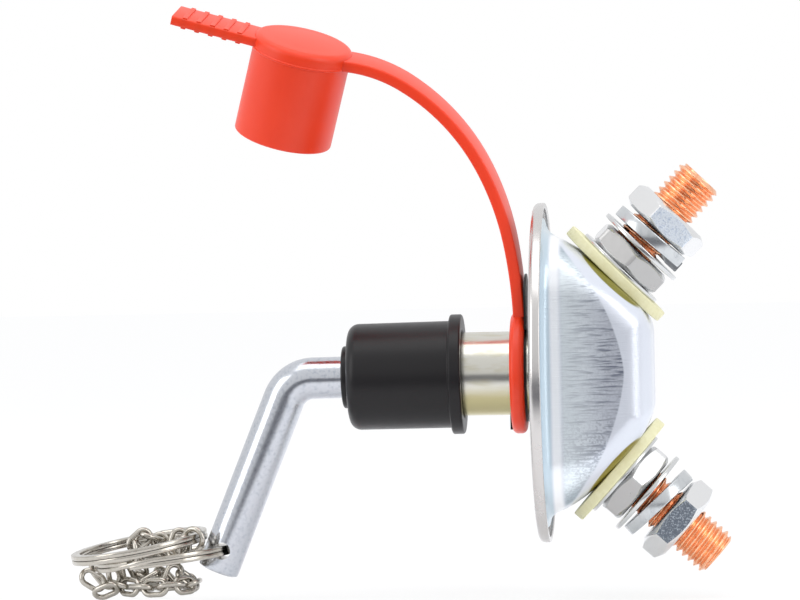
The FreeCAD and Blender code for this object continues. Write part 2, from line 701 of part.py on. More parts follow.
hold(path, 2, 1, knots[2])
hold(path, 2, 2, knots[3])
at = path.addConstraint(Sketcher.Constraint("Radius", 1, size.rod_bend.value))
bind(path, f"Constraints[{at}]", size.rod_bend)
section = circle(rod, "YZ_Plane", "rod_section", (0, 0), size.rod_radius, lift=size.rod_tip)
sweep = rod.newObject("PartDesign::AdditivePipe", "rod_sweep")
sweep.Profile = section
sweep.Spine = (path, [])
sketch = circle(rod, "XZ_Plane", "rod_eye_circle", (
    size.rod_corner + size.rod_eye_at * leg_x, size.rod_eye_at * leg_z), size.rod_eye)
pushed(rod, sketch, "rod_eye_hole", 30, "Pocket", both=True)
sketch = circle(rod, "XZ_Plane", "rod_pin_circle", (size.pin_at, 0), size.pin_radius)
pushed(rod, sketch, "rod_pin_hole", 30, "Pocket", both=True)
doc.recompute()
end_edges = []
for index, edge in enumerate(rod.Shape.Edges, 1):
    if edge.Curve.TypeId != "Part::GeomCircle":
        continue
    if abs(edge.Curve.Radius - size.rod_radius.value) > 0.01:
        continue
    middle = edge.Curve.Center
    if (middle - FreeCAD.Vector(spots[3].x, 0, spots[3].y)).Length < 0.1:
        end_edges.append(f"Edge{index}")
ease = rod.newObject("PartDesign::Chamfer", "rod_end_bevel")
ease.Base = ([item for item in rod.Group if item.Name == "rod_pin_hole"][0], end_edges)
ease.Size = 1.0

# Cross pin: a plain drawn pin driven through the rod
pin = new_body("cross_pin")
sketch = circle(pin, "XZ_Plane", "pin_circle", (size.pin_at, 0), size.pin_radius - 0.02)
pushed(pin, sketch, "pin_length", 2 * size.pin_half, both=True)

# Boot: a moulded rubber sleeve over the key
boot = new_body("key_boot")
sketch = outline(boot, "XZ_Plane", "boot_outline", [
    (size.boot_front, size.boot_bore), (size.boot_front, size.boot_neck - 0.4),
    (size.boot_front + 0.4, size.boot_neck), (size.boot_step, size.boot_neck),
    (size.boot_step, size.boot_body - size.boot_round),
    (size.boot_step + size.boot_round, size.boot_body),
    (size.boot_skirt_at, size.boot_body), (size.boot_skirt_at, size.boot_skirt - 0.4),
    (size.boot_skirt_at + 0.4, size.boot_skirt), (size.boot_rear - 0.4, size.boot_skirt),
    (size.boot_rear, size.boot_skirt - 0.4), (size.boot_rear, size.boot_inside),
    (size.boot_inside_at, size.boot_inside), (size.boot_inside_at, size.boot_bore),
], {4: (size.boot_round, -1)})
turned(boot, sketch, "boot_turn")

# Cam follower: two helical ramps that the cross pin climbs over a quarter turn
cam = doc.addObject("Part::Feature", "cam_follower")


def read(name):
    return float(sheet.get(name))


def along_x(radius, start, end):
    return Part.makeCylinder(radius, end - start, FreeCAD.Vector(start, 0, 0),
                             FreeCAD.Vector(1, 0, 0))


valley = read("pin_at") + read("pin_radius") + read("cam_play")
crest = valley - read("cam_rise")
solid = along_x(read("cam_outer"), crest, read("cam_flange_at"))
flange_end = read("cam_flange_at") + read("cam_flange_tall")
solid = solid.fuse(along_x(read("cam_flange"), read("cam_flange_at"), flange_end))
solid = solid.fuse(along_x(read("stem_radius"), flange_end, read("stem_end")))
solid = solid.cut(along_x(read("cam_inner"), crest - 1, read("cam_floor")))
wires = []
for angle in [-26.0] + [15.0 * step for step in range(7)]:
    floor = valley - read("cam_rise") * max(angle, 0.0) / 90.0
    low = read("cam_inner") - 0.8
    high = read("cam_outer") + 0.8
    turn = math.radians(angle)
    out = FreeCAD.Vector(0, math.cos(turn), math.sin(turn))
    ahead = FreeCAD.Vector(1, 0, 0)
    square = [ahead * (crest - 1.2) + out * low, ahead * (crest - 1.2) + out * high,
              ahead * floor + out * high, ahead * floor + out * low]
    wires.append(Part.makePolygon(square + [square[0]]))
ramp = Part.makeLoft(wires, True, True)
for turn in (0, 180):
    cutter = ramp.copy()
    cutter.rotate(FreeCAD.Vector(0, 0, 0), FreeCAD.Vector(1, 0, 0), turn)
    solid = solid.cut(cutter)
cam.Shape = solid.removeSplitter()

# Contact bridge: a bent copper strip that the cam presses on both stud heads
bridge = new_body("contact_bridge")
bridge_x = size.cam_flange_at + size.cam_flange_tall


def wing(sign, lean):
    """Rear line of one wing, parallel to its stud head."""
    depth = head_at - size.bridge_gap
    foot_x = stud_x + depth * cosine(lean)
    foot_z = stud_z + depth * sine(lean)
    rear = bridge_x + size.bridge_thick
    fore = size.bridge_thick / cosine(lean)
    knee = foot_z - (rear - foot_x) / tangent(lean)
    end = foot_z - (size.bridge_end - foot_x) / tangent(lean)
    front_knee = foot_z - (bridge_x + fore - foot_x) / tangent(lean)
    front_end = foot_z - (size.bridge_end + fore - foot_x) / tangent(lean)
    return [sign * item for item in (knee, end, front_knee, front_end)]


above = wing(1, size.lean_upper)
below = wing(-1, size.lean_lower)
sketch = outline(bridge, "XZ_Plane", "bridge_outline", [
    (bridge_x + size.bridge_thick, below[0]), (bridge_x + size.bridge_thick, above[0]),
    (size.bridge_end, above[1]), (size.bridge_end, above[3]),
    (bridge_x, above[2]), (bridge_x, below[2]),
    (size.bridge_end, below[3]), (size.bridge_end, below[1]),
])
pushed(bridge, sketch, "bridge_strip", size.bridge_wide, both=True)
sketch = circle(bridge, "YZ_Plane", "bridge_circle", (0, 0), size.stem_radius + 0.1,
                lift=bridge_x - 1)
pushed(bridge, sketch, "bridge_hole", size.bridge_thick + 2, "Pocket", back=True)


def disc(label, inner, outer, start, thick):
    body = new_body(label)
    sketch = outline(body, "XZ_Plane", f"{label}_outline", [
        (start, inner), (start, outer), (start + thick, outer), (start + thick, inner),
    ])
    turned(body, sketch, f"{label}_turn")
    return body


# Spring seat, return spring and the disc that insulates it from the housing
seat_at = bridge_x + size.bridge_thick
disc("spring_seat", size.stem_radius + 0.05, size.seat_radius, seat_at, size.seat_thick)
coil_from = seat_at + size.seat_thick
disc_at = size.can_back - size.can_sheet - size.disc_thick
coil = new_body("return_spring")
sketch = circle(coil, "XZ_Plane", "coil_circle", (
    coil_from + size.coil_wire / 2, size.coil_outer - size.coil_wire / 2), size.coil_wire / 2)
helix = coil.newObject("PartDesign::AdditiveHelix", "coil_turn")
helix.Profile = sketch
helix.ReferenceAxis = (sketch, ["H_Axis"])
helix.Mode = "pitch-height-angle"
coil_long = disc_at - coil_from - size.coil_wire
bind(helix, "Pitch", coil_long / size.coil_turns)
bind(helix, "Height", coil_long)
insulator = new_body("spring_insulator")
inside = size.can_back - size.can_sheet
flat_half = stud_z - size.can_sheet * sine(size.lean_lower) \
    - (inside - stud_x + size.can_sheet * cosine(size.lean_lower)) / tangent(size.lean_lower) \
    - (size.can_shoulder - size.can_sheet) * tangent(size.lean_lower / 2)
sketch = circle(insulator, "YZ_Plane", "insulator_circle", (0, 0), flat_half - size.disc_play,
                lift=disc_at)
pushed(insulator, sketch, "insulator_disc", size.disc_thick)

# Tethered cap, one soft moulding: ring on the hub, strap, cup with lid and ribbed pull tab
cap = new_body("cap_loop")
middle = (size.loop_front + size.loop_rear) / 2
arc = size.loop_round
sketch = outline(cap, "XZ_Plane", "loop_outline", [
    (size.loop_front, size.loop_bore + 0.3), (size.loop_front, size.loop_outer - arc),
    (size.loop_front + arc, size.loop_outer), (size.loop_rear - arc, size.loop_outer),
    (size.loop_rear, size.loop_outer - arc), (size.loop_rear, size.loop_bore),
    (size.loop_front + 0.3, size.loop_bore),
], {1: (arc, -1), 3: (arc, -1)})
turned(cap, sketch, "loop_turn")
lean = size.strap_start
spot = (middle + size.strap_off, size.loop_outer - 0.9)
stations = [(spot[0].value, spot[1].value, lean.value, 0.0)]
along = 0.0
for mark in "abcd":
    length = getattr(size, f"strap_long_{mark}")
    turn = getattr(size, f"strap_turn_{mark}")
    bend = length * 57.29578 / turn
    for step in (0.25, 0.5, 0.75, 1.0):
        now = lean + turn * step
        x = spot[0] + bend * (sine(now) - sine(lean))
        z = spot[1] + bend * (cosine(lean) - cosine(now))
        stations.append((x.value, z.value, now.value, along + length.value * step))
    after = lean + turn
    spot = (spot[0] + bend * (sine(after) - sine(lean)),
            spot[1] + bend * (cosine(lean) - cosine(after)))
    lean = after
    along += length.value
strap_end = spot
inward = 2.4
last = math.radians(lean.value)
stations.append((spot[0].value + inward * math.cos(last), spot[1].value + inward * math.sin(last),
                 lean.value, along))
# The strap turns about its own length a little towards the cup, so it is a loft of one section
wires = []
for x, z, angle, distance in stations:
    angle = math.radians(angle)
    twist = math.radians(size.strap_twist.value) * distance / along
    flank = FreeCAD.Vector(-math.sin(angle), 0, math.cos(angle))
    side = FreeCAD.Vector(0, 1, 0)
    wide = side * math.cos(twist) - flank * math.sin(twist)
    thick = flank * math.cos(twist) + side * math.sin(twist)
    here = FreeCAD.Vector(x, 0, z)
    corners = [here + wide * (a * size.strap_wide.value / 2) + thick * (b * size.strap_thick.value / 2)
               for a, b in ((-1, -1), (1, -1), (1, 1), (-1, 1))]
    wires.append(Part.makePolygon(corners + [corners[0]]))
strap = doc.addObject("Part::Feature", "cap_strap")
strap.Shape = Part.makeLoft(wires, True, False)
# The cup stands on its own tilted axis, hung from the end of the strap and turned with it
cup = new_body("cap_cup")
lid_mid = size.cup_deep + size.lid_thick / 2
tilt_s = sine(size.cup_lean)
tilt_c = cosine(size.cup_lean)
cup_x = -size.lid_radius * tilt_c - lid_mid * tilt_s
cup_z = size.lid_radius * tilt_s - lid_mid * tilt_c
cup_at = {"shift": (cup_x, cup_z), "turn": -size.cup_lean}
lid_top = size.cup_deep + size.lid_thick
flat = size.lid_radius - size.lid_round
sketch = outline(cup, "XZ_Plane", "cup_outline", [
    (0, size.cup_deep), (size.cup_inner, size.cup_deep), (size.cup_inner, 0.4),
    (size.cup_inner + 0.4, 0), (size.cup_outer - 0.4, 0), (size.cup_outer, 0.4),
    (size.cup_outer, size.cup_deep), (size.lid_radius, size.cup_deep),
    (size.lid_radius, lid_top - size.lid_round), (flat, lid_top), (0, lid_top + size.lid_dome),
], {8: (size.lid_round, 1),
    9: ((flat * flat + size.lid_dome * size.lid_dome) / (2 * size.lid_dome), 1)}, **cup_at)
turned(cup, sketch, "cup_turn", "V_Axis")
tab_low = size.cup_deep + size.lid_thick / 2 + 0.1 - size.tab_thick / 2
tab_high = tab_low + size.tab_thick
tab_from = -(size.lid_radius - 1.5)
tab_end = -(size.lid_radius + size.tab_long)
under = [(tab_from, tab_low)]
over = [(tab_from, tab_high)]
for step in range(5):
    start = -(size.lid_radius + 2.0) - step * size.tab_pitch
    for across, lift in ((start, 0), (start - 0.25, 1), (start - 0.75, 1), (start - 1.0, 0)):
        under.append((across, tab_low - lift * size.tab_rib))
        over.append((across, tab_high + lift * size.tab_rib))
under.append((tab_end + 0.6, tab_low))
over.append((tab_end + 0.6, tab_high))
under.append((tab_end, tab_low + 0.6))
over.append((tab_end, tab_high - 0.6))
sketch = outline(cup, "XZ_Plane", "tab_outline", over + under[::-1], **cup_at)
pushed(cup, sketch, "tab_push", size.tab_wide, both=True)
cup.Placement = FreeCAD.Placement(
    FreeCAD.Vector(0, 0, 0),
    FreeCAD.Rotation(FreeCAD.Vector(tilt_c.value, 0, -tilt_s.value), 1))
bind(cup, "Placement.Base.x", strap_end[0])
bind(cup, "Placement.Base.z", strap_end[1])
bind(cup, "Placement.Rotation.Axis.x", tilt_c)
bind(cup, "Placement.Rotation.Axis.z", -tilt_s)
bind(cup, "Placement.Rotation.Angle", size.strap_twist)
moulding = doc.addObject("Part::MultiFuse", "tether_cap")
moulding.Shapes = [cap, strap, cup]

# Rubber liner that keeps the cap's ring off the hub and the flange
liner = new_body("ring_liner")
liner_out = size.loop_bore - size.liner_gap
sketch = outline(liner, "XZ_Plane", "liner_outline", [
    (size.loop_front, size.liner_inner), (size.loop_front, liner_out),
    (size.liner_rear, liner_out), (size.liner_rear, size.liner_inner),
])
turned(liner, sketch, "liner_turn")
sketch = outline(liner, "YZ_Plane", "tongue_outline", [
    (-size.liner_half, 9), (size.liner_half, 9),
    (size.liner_half, size.liner_top - size.liner_half),
    (-size.liner_half, size.liner_top - size.liner_half),
], {2: (None, 1)}, lift=size.liner_rear - size.liner_thin)
pushed(liner, sketch, "tongue_push", size.liner_thin)
sketch = outline(liner, "XZ_Plane", "front_tab_outline", [
    (size.loop_front - size.liner_tab, -size.liner_inner),
    (size.loop_front + 0.4, -size.liner_inner),
    (size.loop_front + 0.4, -size.liner_inner - 1.2),
    (size.loop_front, -size.liner_inner - 1.2),
    (size.loop_front, -size.liner_tab_out),
    (size.loop_front - size.liner_tab, -size.liner_tab_out),
])
turned(liner, sketch, "front_tab_turn", angle=size.liner_tab_turn)

# Two split rings of flat-faced wire, wound as two turns
eye_x = size.rod_corner + size.rod_eye_at * leg_x
eye_z = size.rod_eye_at * leg_z
ring_mid = (size.ring_outer + ring_inner) / 2
ring_x = eye_x - ring_mid * cosine(size.ring_lean)
ring_z = eye_z - ring_mid * sine(size.ring_lean)


def split_ring(label, x, z, lean, tip):
    body = new_body(label)
    tall = size.ring_tall / 2
    dip = size.ring_groove
    sketch = outline(body, "XZ_Plane", f"{label}_outline", [
        (ring_inner, -tall + 0.3), (ring_inner + 0.3, -tall),
        (size.ring_outer - 0.3, -tall), (size.ring_outer, -tall + 0.3),
        (size.ring_outer, -dip), (size.ring_outer - dip, 0), (size.ring_outer, dip),
        (size.ring_outer, tall - 0.3), (size.ring_outer - 0.3, tall),
        (ring_inner + 0.3, tall), (ring_inner, tall - 0.3),
        (ring_inner, dip), (ring_inner + dip, 0), (ring_inner, -dip),
    ])
    turned(body, sketch, f"{label}_turn", "V_Axis")
    body.Placement = FreeCAD.Placement(
        FreeCAD.Vector(0, 0, 0),
        FreeCAD.Rotation(FreeCAD.Vector(tip.value, -lean.value, 0), 1))
    bind(body, "Placement.Base.x", x)
    bind(body, "Placement.Base.z", z)
    bind(body, "Placement.Rotation.Axis.x", tip)
    bind(body, "Placement.Rotation.Axis.y", -lean)
    bind(body, "Placement.Rotation.Angle", root(tip * tip + lean * lean))
    return body


split_ring("key_ring", ring_x, ring_z, size.ring_lean, size.ring_tip)
split_ring("free_ring", ring_x + size.free_shift, ring_z + size.free_rise, size.free_lean,
           size.free_tip)

# Short chain heaped between the two rings: welded oval links, a larger one at each end
chain = doc.addObject("Part::Feature", "key_chain")


def oval_link(long, wide, wire):
    """One link in its own XY plane, its length along X."""
    bend = (wide - wire) / 2
    run = (long - wide) / 2
    pieces = []
    for sign in (1, -1):
        torus = Part.makeTorus(bend, wire / 2, FreeCAD.Vector(sign * run, 0, 0),
                               FreeCAD.Vector(0, 0, 1))
        box = Part.makeBox(wide, wide * 2, wire * 2,
                           FreeCAD.Vector(sign * run - (0 if sign > 0 else wide), -wide, -wire))
        pieces.append(torus.common(box))
        pieces.append(Part.makeCylinder(wire / 2, 2 * run, FreeCAD.Vector(-run, sign * bend, 0),
                                        FreeCAD.Vector(1, 0, 0)))
    link = pieces[0]
    for piece in pieces[1:]:
        link = link.fuse(piece)
    return link.removeSplitter()


def lay_link(shape, centre, ahead, across):
    """Lay a link with its length along ahead and its width nearest to across."""
    ahead = FreeCAD.Vector(ahead).normalize()
    across = FreeCAD.Vector(across) - ahead * ahead.dot(across)
    across.normalize()
    normal = ahead.cross(across)
    spin = FreeCAD.Rotation(ahead, across, normal, "XYZ")
    copy = shape.copy()
    copy.Placement = FreeCAD.Placement(FreeCAD.Vector(centre), spin)
    return copy, normal


def on_ring(name, centre, turn):
    """A point on a ring's wire, and the way that the wire runs there."""
    spin = doc.getObject(name).Placement.Rotation
    turn = math.radians(turn)
    out = spin.multVec(FreeCAD.Vector(math.cos(turn), math.sin(turn), 0))
    run = spin.multVec(FreeCAD.Vector(-math.sin(turn), math.cos(turn), 0))
    return centre + out * ring_mid.value, run


doc.recompute()
ring_at = FreeCAD.Vector(ring_x.value, 0, ring_z.value)
free_at = ring_at + FreeCAD.Vector(read("free_shift"), 0, read("free_rise"))
grip_a, run_a = on_ring("key_ring", ring_at, 180)
grip_b, run_b = on_ring("free_ring", free_at, -24)
small = oval_link(read("link_long"), read("link_wide"), read("link_wire"))
large = oval_link(read("hook_long"), read("hook_wide"), read("link_wire"))
wire = read("link_wire")
bow = (read("hook_long") - read("hook_wide")) / 2
reach = read("hook_long") / 2 - wire * 1.08
down_a = FreeCAD.Vector(0.62, -0.15, -0.77).normalize()
down_b = FreeCAD.Vector(-0.58, 0.28, -0.76).normalize()
hook_a = grip_a + down_a * bow
hook_b = grip_b + down_b * bow
start = hook_a + down_a * reach
finish = hook_b + down_b * reach
WAY = [(5.2, -2.9, -3.9), (9.3, -6.2, -4.0), (14.3, -7.6, -3.8), (18.2, -5.4, -3.7),
       (19.2, -1.0, -3.7), (16.2, 2.0, -3.7), (11.8, 1.9, -3.5), (8.2, -0.6, -1.7),
       (7.2, -2.4, 1.9), (7.8, -2.6, 5.3), (10.8, -1.0, 6.3), (12.9, 0.6, 4.1),
       (14.4, -0.9, 1.6)]
bends = [start] + [grip_a + FreeCAD.Vector(*step) for step in WAY] + [finish]
curve = Part.BSplineCurve()
curve.interpolate(bends)
edge = curve.toShape()
count = int(round(read("link_count")))
joints = edge.discretize(Number=count + 1)
links = []
shape, normal = lay_link(large, hook_a, down_a, down_a.cross(run_a))
links.append(shape)
for index in range(count):
    here = joints[index]
    there = joints[index + 1]
    shape, normal = lay_link(small, (here + there) * 0.5, there - here, normal)
    links.append(shape)
shape, normal = lay_link(large, hook_b, down_b, down_b.cross(run_b))
links.append(shape)
chain.Shape = Part.makeCompound(links)
print("chain pitch", edge.Length / count, "last normal", normal)

# Check every object and write one file for each piece
NODES = [
    "mount_flange", "rear_housing", "key_hub", "tether_cap", "ring_liner", "key_rod",
    "cross_pin", "key_boot", "key_ring", "key_chain", "free_ring", "cam_follower",
    "contact_bridge", "spring_seat", "return_spring", "spring_insulator",
]
for mark in SIDES:
    for name in ("terminal_stud", "stud_bush", "fibre_washer", "plain_washer", "jam_nut",
                 "thin_washer", "spring_washer", "terminal_nut"):
        NODES.append(f"{name}_{mark}")
doc.recompute()
for item in doc.Objects:
    for word in ("Invalid", "Error"):
        if word in item.State:
            raise RuntimeError(f"{item.Label} is {item.State}")
os.makedirs("parts", exist_ok=True)
for name in NODES:
    item = doc.getObject(name)
    if item.Shape.isNull() or not item.Shape.isValid():
        raise RuntimeError(f"{name} has no valid shape")
    box = item.Shape.BoundBox
    print(f"{name:24s} {item.Shape.Volume:9.1f}  x {box.XMin:7.2f} {box.XMax:7.2f}"
          f"  y {box.YMin:7.2f} {box.YMax:7.2f}  z {box.ZMin:7.2f} {box.ZMax:7.2f}"
          f"  solids {len(item.Shape.Solids)}")
    item.Shape.exportStep(f"parts/{name}.step")
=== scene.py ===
import math
import bpy
import bmesh
import numpy as np
from mathutils import Matrix, Vector


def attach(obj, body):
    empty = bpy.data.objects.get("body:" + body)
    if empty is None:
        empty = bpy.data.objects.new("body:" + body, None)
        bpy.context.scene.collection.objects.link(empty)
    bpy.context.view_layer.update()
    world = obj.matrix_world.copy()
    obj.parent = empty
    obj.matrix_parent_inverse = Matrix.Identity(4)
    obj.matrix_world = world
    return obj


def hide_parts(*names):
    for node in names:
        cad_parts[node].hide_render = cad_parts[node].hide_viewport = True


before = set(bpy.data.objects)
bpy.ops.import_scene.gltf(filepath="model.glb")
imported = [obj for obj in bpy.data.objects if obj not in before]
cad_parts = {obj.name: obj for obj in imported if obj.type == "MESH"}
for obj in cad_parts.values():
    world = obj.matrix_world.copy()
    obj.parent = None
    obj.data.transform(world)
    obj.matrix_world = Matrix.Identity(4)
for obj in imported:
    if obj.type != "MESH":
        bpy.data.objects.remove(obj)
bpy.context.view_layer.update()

# Studio
# A pale table and an even white surround, lit by soft lamps from above and from both sides.


def linear(code):
    """A written colour as the renderer counts it."""
    parts = [int(code[at:at + 2], 16) / 255 for at in (1, 3, 5)]
    flat = [p / 12.92 if p <= 0.04045 else ((p + 0.055) / 1.055) ** 2.4 for p in parts]
    return flat + [1.0]


def add(tree, kind, **settings):
    """One more node, or the one already there of that name, with its properties and sockets
    set or joined; where sockets share a name, their values come as a list."""
    node = tree.nodes.get(kind) or tree.nodes.new(kind)
    for key, value in settings.items():
        sockets = [s for s in node.inputs if s.enabled and s.name == key.replace("_", " ")]
        if not sockets:
            setattr(node, key, value)
            continue
        for socket, part in zip(sockets, value if len(sockets) > 1 else [value]):
            if isinstance(part, bpy.types.Node):
                part = next(s for s in part.outputs if s.enabled)
            if isinstance(part, bpy.types.NodeSocket):
                tree.links.new(part, socket)
            else:
                socket.default_value = part
    return node


scene = bpy.context.scene
scene.view_settings.view_transform = "Standard"
world = bpy.data.worlds.new("studio")
scene.world = world
world.use_nodes = True
tree = world.node_tree
tree.nodes.clear()
path = add(tree, "ShaderNodeLightPath")
spot = add(tree, "ShaderNodeTexCoord")
split = add(tree, "ShaderNodeSeparateXYZ", Vector=spot.outputs["Generated"])
# The room behind the camera is darker than the tent round the object
depth = add(tree, "ShaderNodeMapRange", Value=split.outputs["Y"], From_Min=-1.0, From_Max=-0.3,
            To_Min=0.86, To_Max=1.0)
height = add(tree, "ShaderNodeMapRange", Value=split.outputs["Z"], From_Min=-0.4, From_Max=0.8,
             To_Min=0.75, To_Max=1.12)
room = add(tree, "ShaderNodeMath", operation="MULTIPLY", Value=(depth, height))
lit = add(tree, "ShaderNodeBackground", Color=linear("#F6F8FC"), Strength=room)
plain = add(tree, "ShaderNodeBackground", Color=linear("#FFFFFF"), Strength=1.0)
seen = add(tree, "ShaderNodeMath", operation="MAXIMUM",
           Value=(path.outputs["Is Camera Ray"], path.outputs["Is Transmission Ray"]))
# In a mirror finish the surround is partly plain white, so the metal's dark bands stay soft
mirrored = add(tree, "ShaderNodeMath", operation="MULTIPLY",
               Value=(path.outputs["Is Glossy Ray"], 0.6))
shown = add(tree, "ShaderNodeMath", operation="MAXIMUM", Value=(seen, mirrored))
mix = add(tree, "ShaderNodeMixShader", Fac=shown, Shader=(lit, plain))
add(tree, "ShaderNodeOutputWorld", Surface=mix)


def lamp(name, spot, aim, width, height, power):
    """One soft box, turned to the point that it lights."""
    data = bpy.data.lights.new(name, "AREA")
    data.shape = "RECTANGLE"
    data.size = width
    data.size_y = height
    data.energy = power
    item = bpy.data.objects.new(name, data)
    scene.collection.objects.link(item)
    item.location = spot
    item.rotation_euler = (Vector(aim) - Vector(spot)).to_track_quat("-Z", "Y").to_euler()


lamp("soft_top", (-0.05, -0.15, 0.75), (-0.02, 0, 0), 0.7, 0.6, 1.6)
lamp("soft_left", (-0.75, -0.45, 0.30), (-0.02, 0, 0), 0.45, 0.7, 1.9)
lamp("soft_right", (0.70, -0.50, 0.28), (0.02, 0, 0), 0.40, 0.7, 1.9)

# The table lies just under the chain's lowest link
TABLE_TOP = -0.0462
table = bpy.data.meshes.new("table")
table.from_pydata([(x, y, TABLE_TOP) for x, y in ((-3, -3), (3, -3), (3, 3), (-3, 3))], [],
                  [(0, 1, 2, 3)])
table = bpy.data.objects.new("table", table)
scene.collection.objects.link(table)
paper = bpy.data.materials.new("white_paper")
paper.use_nodes = True
tree = paper.node_tree
tree.nodes.clear()
path = add(tree, "ShaderNodeLightPath")
seen = add(tree, "ShaderNodeMath", operation="MAXIMUM",
           Value=(path.outputs["Is Camera Ray"], path.outputs["Is Transmission Ray"]))
# The paper glows by this share where the camera sees it; the rest of it keeps the shadow
share = add(tree, "ShaderNodeMath", operation="MULTIPLY", Value=(seen, 0.8))
# Past its front edge the white paper gives way to the dark floor of the room
point = add(tree, "ShaderNodeNewGeometry")
split = add(tree, "ShaderNodeSeparateXYZ", Vector=point.outputs["Position"])
front = add(tree, "ShaderNodeMapRange", Value=split.outputs["Y"], From_Min=-0.16, From_Max=-0.09,
            To_Min=1.0, To_Max=0.0)
sheet = add(tree, "ShaderNodeMix", data_type="RGBA", Factor=front, A=linear("#FAFAFA"),
            B=linear("#6E6E72"))
matt = add(tree, "ShaderNodeBsdfDiffuse", Color=sheet)
glow = add(tree, "ShaderNodeEmission", Color=linear("#FFFFFF"), Strength=1.0)
mix = add(tree, "ShaderNodeMixShader", Fac=share, Shader=(matt, glow))
add(tree, "ShaderNodeOutputMaterial", Surface=mix)
table.data.materials.append(paper)

# Camera
# A long lens from the side, a little behind the flange and a little above the key's axis.
lens = bpy.data.cameras.new("camera")
lens.sensor_width = 36.0
lens.lens = 180.0
lens.clip_end = 10.0
camera = bpy.data.objects.new("camera", lens)
scene.collection.objects.link(camera)
scene.camera = camera
azimuth = math.radians(5.0)
elevation = math.radians(1.0)
roll = math.radians(-1.2)
reach = 0.816
away = Vector((math.sin(azimuth) * math.cos(elevation), -math.cos(azimuth) * math.cos(elevation),
               math.sin(elevation)))
aim = Vector((-0.02764, 0.0, 0.01532))
camera.location = aim + away * reach
turn = away.to_track_quat("Z", "Y").to_matrix() @ Matrix.Rotation(roll, 3, "Z")
camera.rotation_euler = turn.to_euler()

# Mounting flange
# One disc of steel sheet, pressed to a slight dome with its rim turned back, zinc plated and
# clear passivated; two holes take the screws. The plating gives a soft, slightly warm sheen.
MM = 0.001
ALONG_KEY = Matrix(((0, 0, 1), (1, 0, 0), (0, 1, 0))).to_4x4()


def rounded(points, closed=True, steps=5):
    """An outline with its corners rounded; each point is (across, along, radius)."""
    result = []
    count = len(points)
    for index, (across, along, radius) in enumerate(points):
        here = Vector((across, along))
        if radius == 0 or (not closed and index in (0, count - 1)):
            result.append(here)
            continue
        before = Vector(points[index - 1][:2]) - here
        after = Vector(points[(index + 1) % count][:2]) - here
        half = before.angle(after) / 2
        run = min(radius / math.tan(half), before.length * 0.499, after.length * 0.499)
        bend = run * math.tan(half)
        middle = here + (before.normalized() + after.normalized()).normalized() \
            * (bend / math.sin(half))
        start = here + before.normalized() * run - middle
        end = here + after.normalized() * run - middle
        whole = start.angle(end)
        for step in range(steps + 1):
            part = step / steps
            result.append(middle + (start * math.sin((1 - part) * whole)
                                    + end * math.sin(part * whole)) / math.sin(whole))
    return result


def finish_mesh(name, points, faces, place=None, sharp=32.0):
    """A shaded mesh object from points in millimetres."""
    mesh = bpy.data.meshes.new(name)
    mesh.from_pydata([Vector(p) * MM for p in points], [], faces)
    if place is not None:
        mesh.transform(place)
    mesh.validate()
    turned_out = bmesh.new()
    turned_out.from_mesh(mesh)
    bmesh.ops.recalc_face_normals(turned_out, faces=turned_out.faces)
    turned_out.to_mesh(mesh)
    turned_out.free()
    mesh.shade_smooth()
    mesh.set_sharp_from_angle(angle=math.radians(sharp))
    item = bpy.data.objects.new(name, mesh)
    scene.collection.objects.link(item)
    return item


def lathe(name, outline, place=ALONG_KEY, steps=128, closed=True, sharp=32.0):
    """A turned piece: the outline is (radius, along) and goes once round its own Z."""
    points = []
    count = len(outline)
    for step in range(steps):
        angle = 2 * math.pi * step / steps
        for across, along in outline:
            points.append((across * math.cos(angle), across * math.sin(angle), along))
    faces = []
    for step in range(steps):
        after = (step + 1) % steps
        for index in range(count if closed else count - 1):
            follow = (index + 1) % count
            faces.append((step * count + index, after * count + index,
                          after * count + follow, step * count + follow))
    return finish_mesh(name, points, faces, place, sharp)


def cut(item, tool):
    """Take one shape out of another and drop the tool."""
    change = item.modifiers.new("cut", "BOOLEAN")
    change.operation = "DIFFERENCE"
    change.object = tool
    change.solver = "EXACT"
    graph = bpy.context.evaluated_depsgraph_get()
    fresh = bpy.data.meshes.new_from_object(item.evaluated_get(graph))
    item.modifiers.clear()
    item.data = fresh
    bpy.data.objects.remove(tool)
    fresh.shade_smooth()
    fresh.set_sharp_from_angle(angle=math.radians(32.0))


SCREW_HOLES = (-27.0, 27.0)
SCREW_RADIUS = 2.75


def drill_screws(item):
    """The two screw holes, through whatever sheet lies there."""
    for side in SCREW_HOLES:
        drill = lathe("drill", [(0.0, -4.0), (SCREW_RADIUS, -4.0), (SCREW_RADIUS, 6.0), (0.0, 6.0)],
                      Matrix.Translation((0, side * MM, 0)) @ ALONG_KEY, 48, False)
        cut(item, drill)


DOME_RADIUS = 569.0


def dome(radius):
    """How far the domed sheet has fallen back at this distance from its middle."""
    return radius * radius / (2 * DOME_RADIUS)


